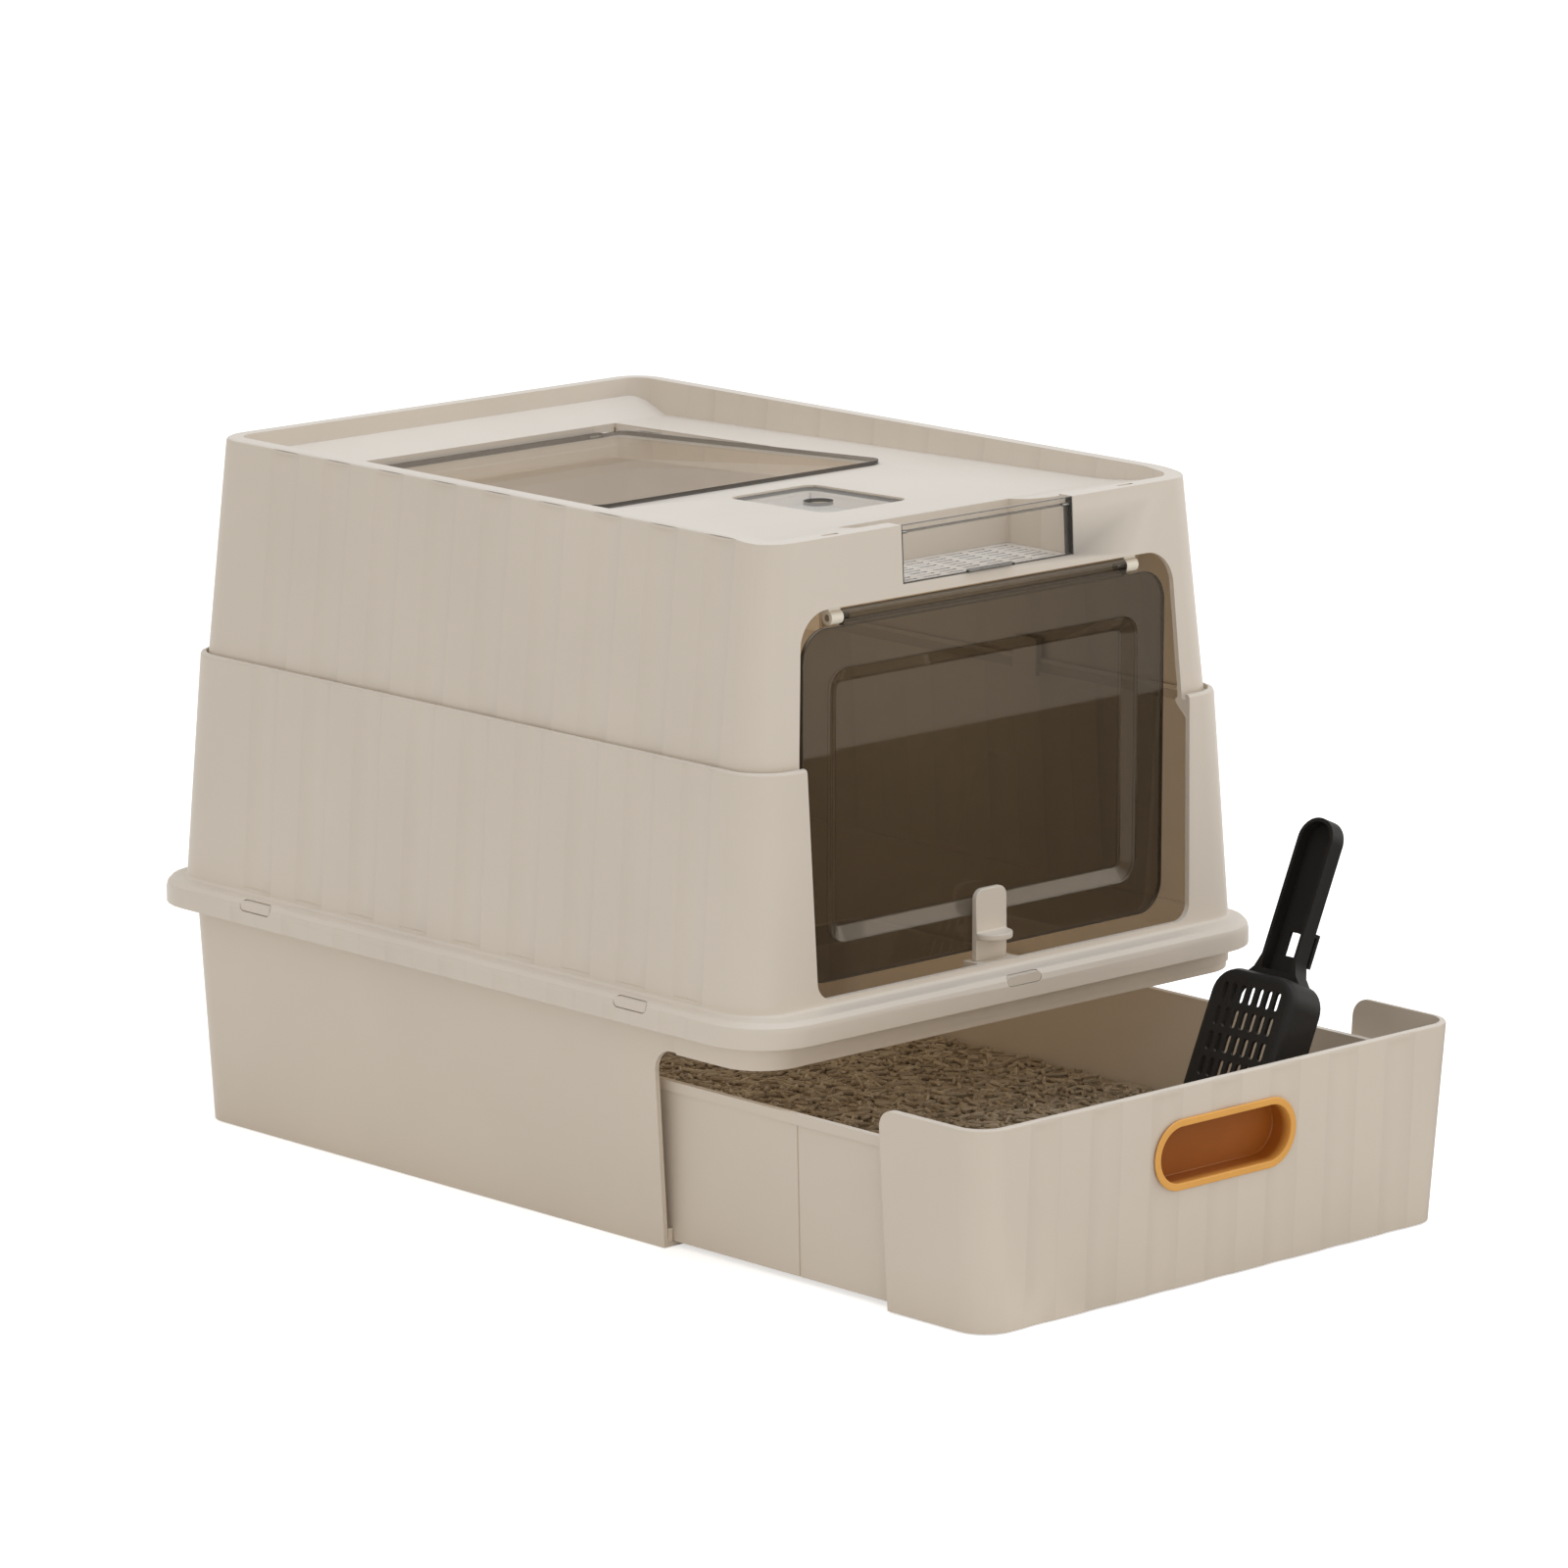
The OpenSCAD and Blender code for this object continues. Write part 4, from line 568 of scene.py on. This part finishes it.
# %% Dress the shells
DRESS = {
    "base": (tub_finish, 0.0006), "drawer_runners": (tub_finish, 0.0004),
    "drawer": (drawer_finish, 0.0006), "deodoriser_cup": (tub_finish, 0),
    "scent_tray": (tray_finish, 0), "rubber_pads": (rubber_finish, 0),
    "lower_hood": (fluted_finish, 0.0006), "upper_hood": (fluted_finish, 0.0006),
    "snap_tongues": (hood_finish, 0.0004), "hood_clips": (hood_finish, 0.0004),
    "latch_guide": (hood_finish, 0.0004), "latch_slider": (hood_finish, 0.0008),
    "flap_door": (smoke_finish, 0), "flap_brackets": (boss_finish, 0.0005),
    "flap_pins": (steel_finish, 0.0002), "top_lid": (lid_finish, 0),
    "lid_pins": (steel_finish, 0.0001), "carbon_pad": (felt_finish, 0),
    "deodoriser_cover": (cover_finish, 0), "pocket_cover": (clear_finish, 0),
    "pocket_pins": (steel_finish, 0.0001), "handle_cup": (pull_finish, 0.0010),
    "scoop": (scoop_finish, 0.0004),
}
SHEETS = ("flap_door", "top_lid", "deodoriser_cover", "pocket_cover")
for name, (material, width) in DRESS.items():
    finish_in(nodes[name], material)
    soften(nodes[name], width, crisp_shading if name in SHEETS else even_shading)
print("dressed:", len(DRESS), "shells")

# %% [markdown]
# ## Litter
# The litter is plant-fibre pellets: short sticks about two millimetres thick and a centimetre
# long, lying every which way. One bumpy slab would look like mud, so the visible surface is
# thousands of real sticks over a plain bed. They are built in one mesh, because one mesh of
# many small shells is far lighter than many objects. In their finish, Random Per Island gives
# each stick a tone of its own.

# %% The finish of the pellets
DARK_STRAW = (0.330, 0.260, 0.175, 1.0)
STRAW = (0.460, 0.375, 0.265, 1.0)
PALE_STRAW = (0.600, 0.505, 0.370, 1.0)


def pellet_finish(name):
    bench = Bench(name)
    each = bench.make("ShaderNodeNewGeometry", output="Random Per Island")
    fibres = clouds(bench, object_space(bench), 1400.0, 4.0)
    tone = ramp(bench, each, (0.0, DARK_STRAW), (0.45, STRAW), (1.0, PALE_STRAW))
    shader = bench.make("ShaderNodeBsdfPrincipled", {}, {
        "Base Color": tone * (fibres * 0.5 + 0.75),
        "Roughness": fibres * 0.15 + 0.78, "Normal": relief(bench, fibres, 0.0003)})
    return bench.finish(shader)


litter_finish = pellet_finish("litter_pellets")
print("litter finish:", litter_finish.name)

# %% [markdown]
# ## One stick
# A pellet is pressed through a round hole and snaps off with worn ends. A ready-made cylinder
# has sharp ends, and rounding thousands of them with a modifier would be heavy. So a stick is
# written down as four rings of six points, with a slightly smaller ring at either end.

# %% One stick
STICK_SIDES = 6
# each ring: its place along the stick's length and its share of the radius
STICK_RINGS = ((-0.5, 0.55), (-0.46, 1.0), (0.46, 1.0), (0.5, 0.55))


def add_stick(points, faces, middle, turn, length, radius):
    first = len(points)
    for along, share in STICK_RINGS:
        for k in range(STICK_SIDES):
            a = 2 * math.pi * k / STICK_SIDES
            side, up = radius * share * math.cos(a), radius * share * math.sin(a)
            points.append(middle + turn @ Vector((along * length, side, up)))
    for ring in range(len(STICK_RINGS) - 1):
        for k in range(STICK_SIDES):
            a = first + ring * STICK_SIDES + k
            b = first + ring * STICK_SIDES + (k + 1) % STICK_SIDES
            faces.append((a, b, b + STICK_SIDES, a + STICK_SIDES))
    faces.append(tuple(first + k for k in reversed(range(STICK_SIDES))))
    last = first + (len(STICK_RINGS) - 1) * STICK_SIDES
    faces.append(tuple(last + k for k in range(STICK_SIDES)))


print("points in a stick:", STICK_SIDES * len(STICK_RINGS))

# %% [markdown]
# ## The bed
# Real litter is piled many sticks deep. Nobody sees the lower ones, so they needn't be made: one
# closed slab with the same finish fills the tray, and it shows only in the gaps between the
# sticks that lie on top.

# %% The bed under the sticks
BED_TAPER = 0.0026
BED_DROP = 0.0022
BED_CORNER = 0.014
CORNER_STEPS = 8


def add_bed(points, faces, low, high, corner):
    """A closed slab with rounded corners that fills the tray up to just under the sticks."""
    outline = []
    for quarter, (sx, sy) in enumerate(((1, 1), (-1, 1), (-1, -1), (1, -1))):
        centre_x = (high.x - corner) if sx > 0 else (low.x + corner)
        centre_y = (high.y - corner) if sy > 0 else (low.y + corner)
        for k in range(CORNER_STEPS + 1):
            a = math.pi / 2 * (quarter + k / CORNER_STEPS)
            outline.append((centre_x + corner * math.cos(a), centre_y + corner * math.sin(a)))
    n = len(outline)
    first = len(points)
    for z in (low.z, high.z):
        points.extend(Vector((x, y, z)) for x, y in outline)
    faces.append(tuple(first + k for k in reversed(range(n))))
    faces.append(tuple(first + n + k for k in range(n)))
    for k in range(n):
        faces.append((first + k, first + (k + 1) % n, first + n + (k + 1) % n, first + n + k))


print("the bed stays", round(BED_DROP * 1000, 1), "mm under the surface")

# %% [markdown]
# ## Pouring
# A physics run could let the sticks fall, but thousands of them take minutes to settle. The top
# layer is nearly flat, so chance does as well: each stick gets a place, a heading, a length and
# a small tilt from a seeded dice, which falls the same way on every run.

# %% Pour the litter
STICKS = 9000
STICK_LENGTH = (0.0065, 0.0115)
STICK_RADIUS = (0.0009, 0.0013)
STICK_TILT = 0.20
WALL_GAP = 0.0075
LAYER_LOW, LAYER_DEPTH = 0.0026, 0.0030


def pour_litter(count):
    """Lays sticks at random over the bed: the higher one lies, the more it may tilt."""
    dice = random.Random(7)
    low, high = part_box("litter_bed")
    points, faces = [], []
    add_bed(points, faces, low + Vector((BED_TAPER, BED_TAPER, 0)),
            high - Vector((BED_TAPER, BED_TAPER, BED_DROP)), BED_CORNER)
    for _ in range(count):
        x = dice.uniform(low.x + WALL_GAP, high.x - WALL_GAP)
        y = dice.uniform(low.y + WALL_GAP, high.y - WALL_GAP)
        layer = dice.random()
        middle = Vector((x, y, high.z - LAYER_LOW + LAYER_DEPTH * layer))
        tilt = dice.uniform(-STICK_TILT, STICK_TILT) * layer
        turn = Euler((0, tilt, dice.uniform(0, math.pi))).to_matrix()
        length = dice.uniform(*STICK_LENGTH)
        add_stick(points, faces, middle, turn, length, dice.uniform(*STICK_RADIUS))
    mesh = bpy.data.meshes.new("litter")
    mesh.from_pydata(points, [], faces)
    mesh.materials.append(litter_finish)
    piece = bpy.data.objects.new("litter", mesh)
    bpy.context.scene.collection.objects.link(piece)
    return piece


litter = pour_litter(STICKS)
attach(litter, "drawer")
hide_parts("litter_bed")
print("litter:", len(litter.data.polygons), "faces")

# %% [markdown]
# ## Floor and sky
# The box stands on a plain white floor under soft light. A white that came from more light
# would clip the pale plastic. So the white is a colour: the sky is white only for rays from the
# camera and rays that pass through the sheets, while the light that it sheds, and what glossy
# plastic reflects of it, is dimmer and warmer. The floor glows a little for camera, glossy and
# transmission rays, and keeps the box's shadow.

# %% Floor and sky
FLOOR_COLOUR = (0.80, 0.79, 0.77, 1.0)
FLOOR_GLOW = 0.60
FLOOR_SIZE = 14.0
FLOOR_DROP = 0.0004
SKY_LEVEL = 0.70
SKY_TINT = (1.0, 0.960, 0.910, 1.0)


def white_floor():
    bench = Bench("studio_floor")
    seen = bench.make("ShaderNodeLightPath", output="Is Camera Ray")
    mirrored = bench.make("ShaderNodeLightPath", output="Is Glossy Ray")
    through = bench.make("ShaderNodeLightPath", output="Is Transmission Ray")
    matt = bench.make("ShaderNodeBsdfDiffuse", {}, {"Color": FLOOR_COLOUR})
    strength = (seen + mirrored + through) * FLOOR_GLOW
    glow = bench.make("ShaderNodeEmission", {}, {"Color": WHITE, "Strength": strength})
    return bench.finish(bench.make("ShaderNodeAddShader", {}, {0: matt, 1: glow}))


def studio_sky(level, tint):
    world = bpy.data.worlds.new("studio_sky")
    bpy.context.scene.world = world
    bench = Bench("studio_sky", world)
    seen = bench.make("ShaderNodeLightPath", output="Is Camera Ray")
    through = bench.make("ShaderNodeLightPath", output="Is Transmission Ray")
    white = bench.make("ShaderNodeBackground", {}, {"Color": WHITE, "Strength": 1.0})
    light = bench.make("ShaderNodeBackground", {}, {"Color": tint, "Strength": level})
    mixed = bench.make("ShaderNodeMixShader", {}, {0: seen + through, 1: light, 2: white})
    bench.finish(mixed, "ShaderNodeOutputWorld")


studio_sky(SKY_LEVEL, SKY_TINT)
bpy.ops.mesh.primitive_plane_add(size=FLOOR_SIZE, location=(0, 0, -FLOOR_DROP))
floor = bpy.context.object
floor.name = "floor"
floor.data.materials.append(white_floor())
print("floor and sky ready")

# %% [markdown]
# ## Lamps
# A wide disk overhead gives the even light of a studio, and its cool tint cools the surfaces
# that face up. Two weaker, warmer disks stand to the front, right and left, so that the front
# and the side walls each keep a tone of their own. Big lamps make soft shadows, as a pale
# moulded object needs: a small hard lamp would draw a dark line under each rim.

# %% Lamps
MIDDLE = (0.0, -0.05, 0.2)


def soft_lamp(name, place, size, power, colour):
    """A round area lamp that looks at the middle of the box. Its power is in watts."""
    data = bpy.data.lights.new(name, "AREA")
    data.shape = "DISK"
    data.size = size
    data.energy = power
    data.color = colour
    lamp = bpy.data.objects.new(name, data)
    lamp.location = place
    lamp.rotation_euler = (Vector(MIDDLE) - Vector(place)).to_track_quat("-Z", "Y").to_euler()
    bpy.context.scene.collection.objects.link(lamp)


soft_lamp("overhead", (0.2, -0.3, 2.6), size=2.4, power=32.5, colour=(0.60, 0.76, 1.0))
soft_lamp("front_right", (2.3, -1.5, 1.2), size=1.4, power=7.0, colour=(1.0, 0.96, 0.92))
soft_lamp("front_left", (-1.2, -2.6, 0.5), size=1.4, power=3.6, colour=(1.0, 0.95, 0.89))

# %% [markdown]
# ## Light in the cabin and a card for the flap
# In a real box the thin pale walls glow and pass light on into the cabin. These walls are
# opaque, and making them let light through would be slow, so one weak warm lamp hangs inside,
# where neither the camera nor a reflection sees it.
#
# In a studio, black cards stand round a glossy object to shape what it mirrors. Without one the
# flap reflects the bright floor, and its lower half turns to grey haze. This card lies on the
# floor in front of the box, and only glossy rays see it: it throws no shadow and stays out of
# view.

# %% A fill lamp in the cabin and a card for the flap to reflect
def fill_lamp(name, place, radius, power, colour):
    """A small lamp that isn't seen itself: it stands in for light that walls pass on."""
    data = bpy.data.lights.new(name, "POINT")
    data.shadow_soft_size = radius
    data.energy = power
    data.color = colour
    lamp = bpy.data.objects.new(name, data)
    lamp.location = place
    lamp.visible_camera = False
    lamp.visible_glossy = False
    bpy.context.scene.collection.objects.link(lamp)


def dark_card(name, middle, width, depth):
    """A black card on the floor that only reflections see."""
    bench = Bench(name)
    grain = clouds(bench, object_space(bench), 300.0)
    black = ramp(bench, grain, (0.3, 0.004), (0.7, 0.008))
    paper = bench.make("ShaderNodeBsdfDiffuse", {}, {"Color": black})
    bpy.ops.mesh.primitive_plane_add(size=1.0, location=middle)
    card = bpy.context.object
    card.name = name
    card.scale = (width, depth, 1)
    card.data.materials.append(bench.finish(paper))
    card.visible_camera = False
    card.visible_diffuse = False
    card.visible_transmission = False
    card.visible_shadow = False


fill_lamp("cabin_fill", (0.0, 0.02, 0.27), radius=0.09, power=0.35, colour=(1.0, 0.80, 0.54))
dark_card("dark_card", (0.7, -0.655, -0.0002), width=1.6, depth=1.11)
print("fill and card ready")

# %% [markdown]
# ## Camera
# A long lens from far away keeps the upright edges nearly parallel, as product pictures have
# them. The camera looks along a direction given by two angles, and a small shift moves the
# frame so that the object sits where it should.

# %% Camera
AIM = Vector((0.03948, -0.03692, 0.20869))
AROUND, ABOVE, TILT = (math.radians(v) for v in (43.38, 12.15, 0.11))
DISTANCE = 4.8585
LENS = 191.48
SENSOR = 36.0
SHIFT_X, SHIFT_Y = -0.0068, 0.00414
FAR_END = 50.0
level = math.cos(ABOVE)
out = Vector((-math.sin(AROUND) * level, -math.cos(AROUND) * level, math.sin(ABOVE)))
camera_data = bpy.data.cameras.new("camera")
camera_data.sensor_width = SENSOR
camera_data.lens = LENS
camera_data.shift_x = SHIFT_X
camera_data.shift_y = SHIFT_Y
camera_data.clip_end = FAR_END
camera = bpy.data.objects.new("camera", camera_data)
camera.location = AIM + out * DISTANCE
look = (-out).to_track_quat("-Z", "Y").to_matrix()
camera.rotation_euler = (look @ Matrix.Rotation(TILT, 3, "Z")).to_euler()
bpy.context.scene.collection.objects.link(camera)
bpy.context.scene.camera = camera
bpy.context.scene.view_settings.view_transform = "Standard"
print("camera at", [round(v, 3) for v in camera.location])
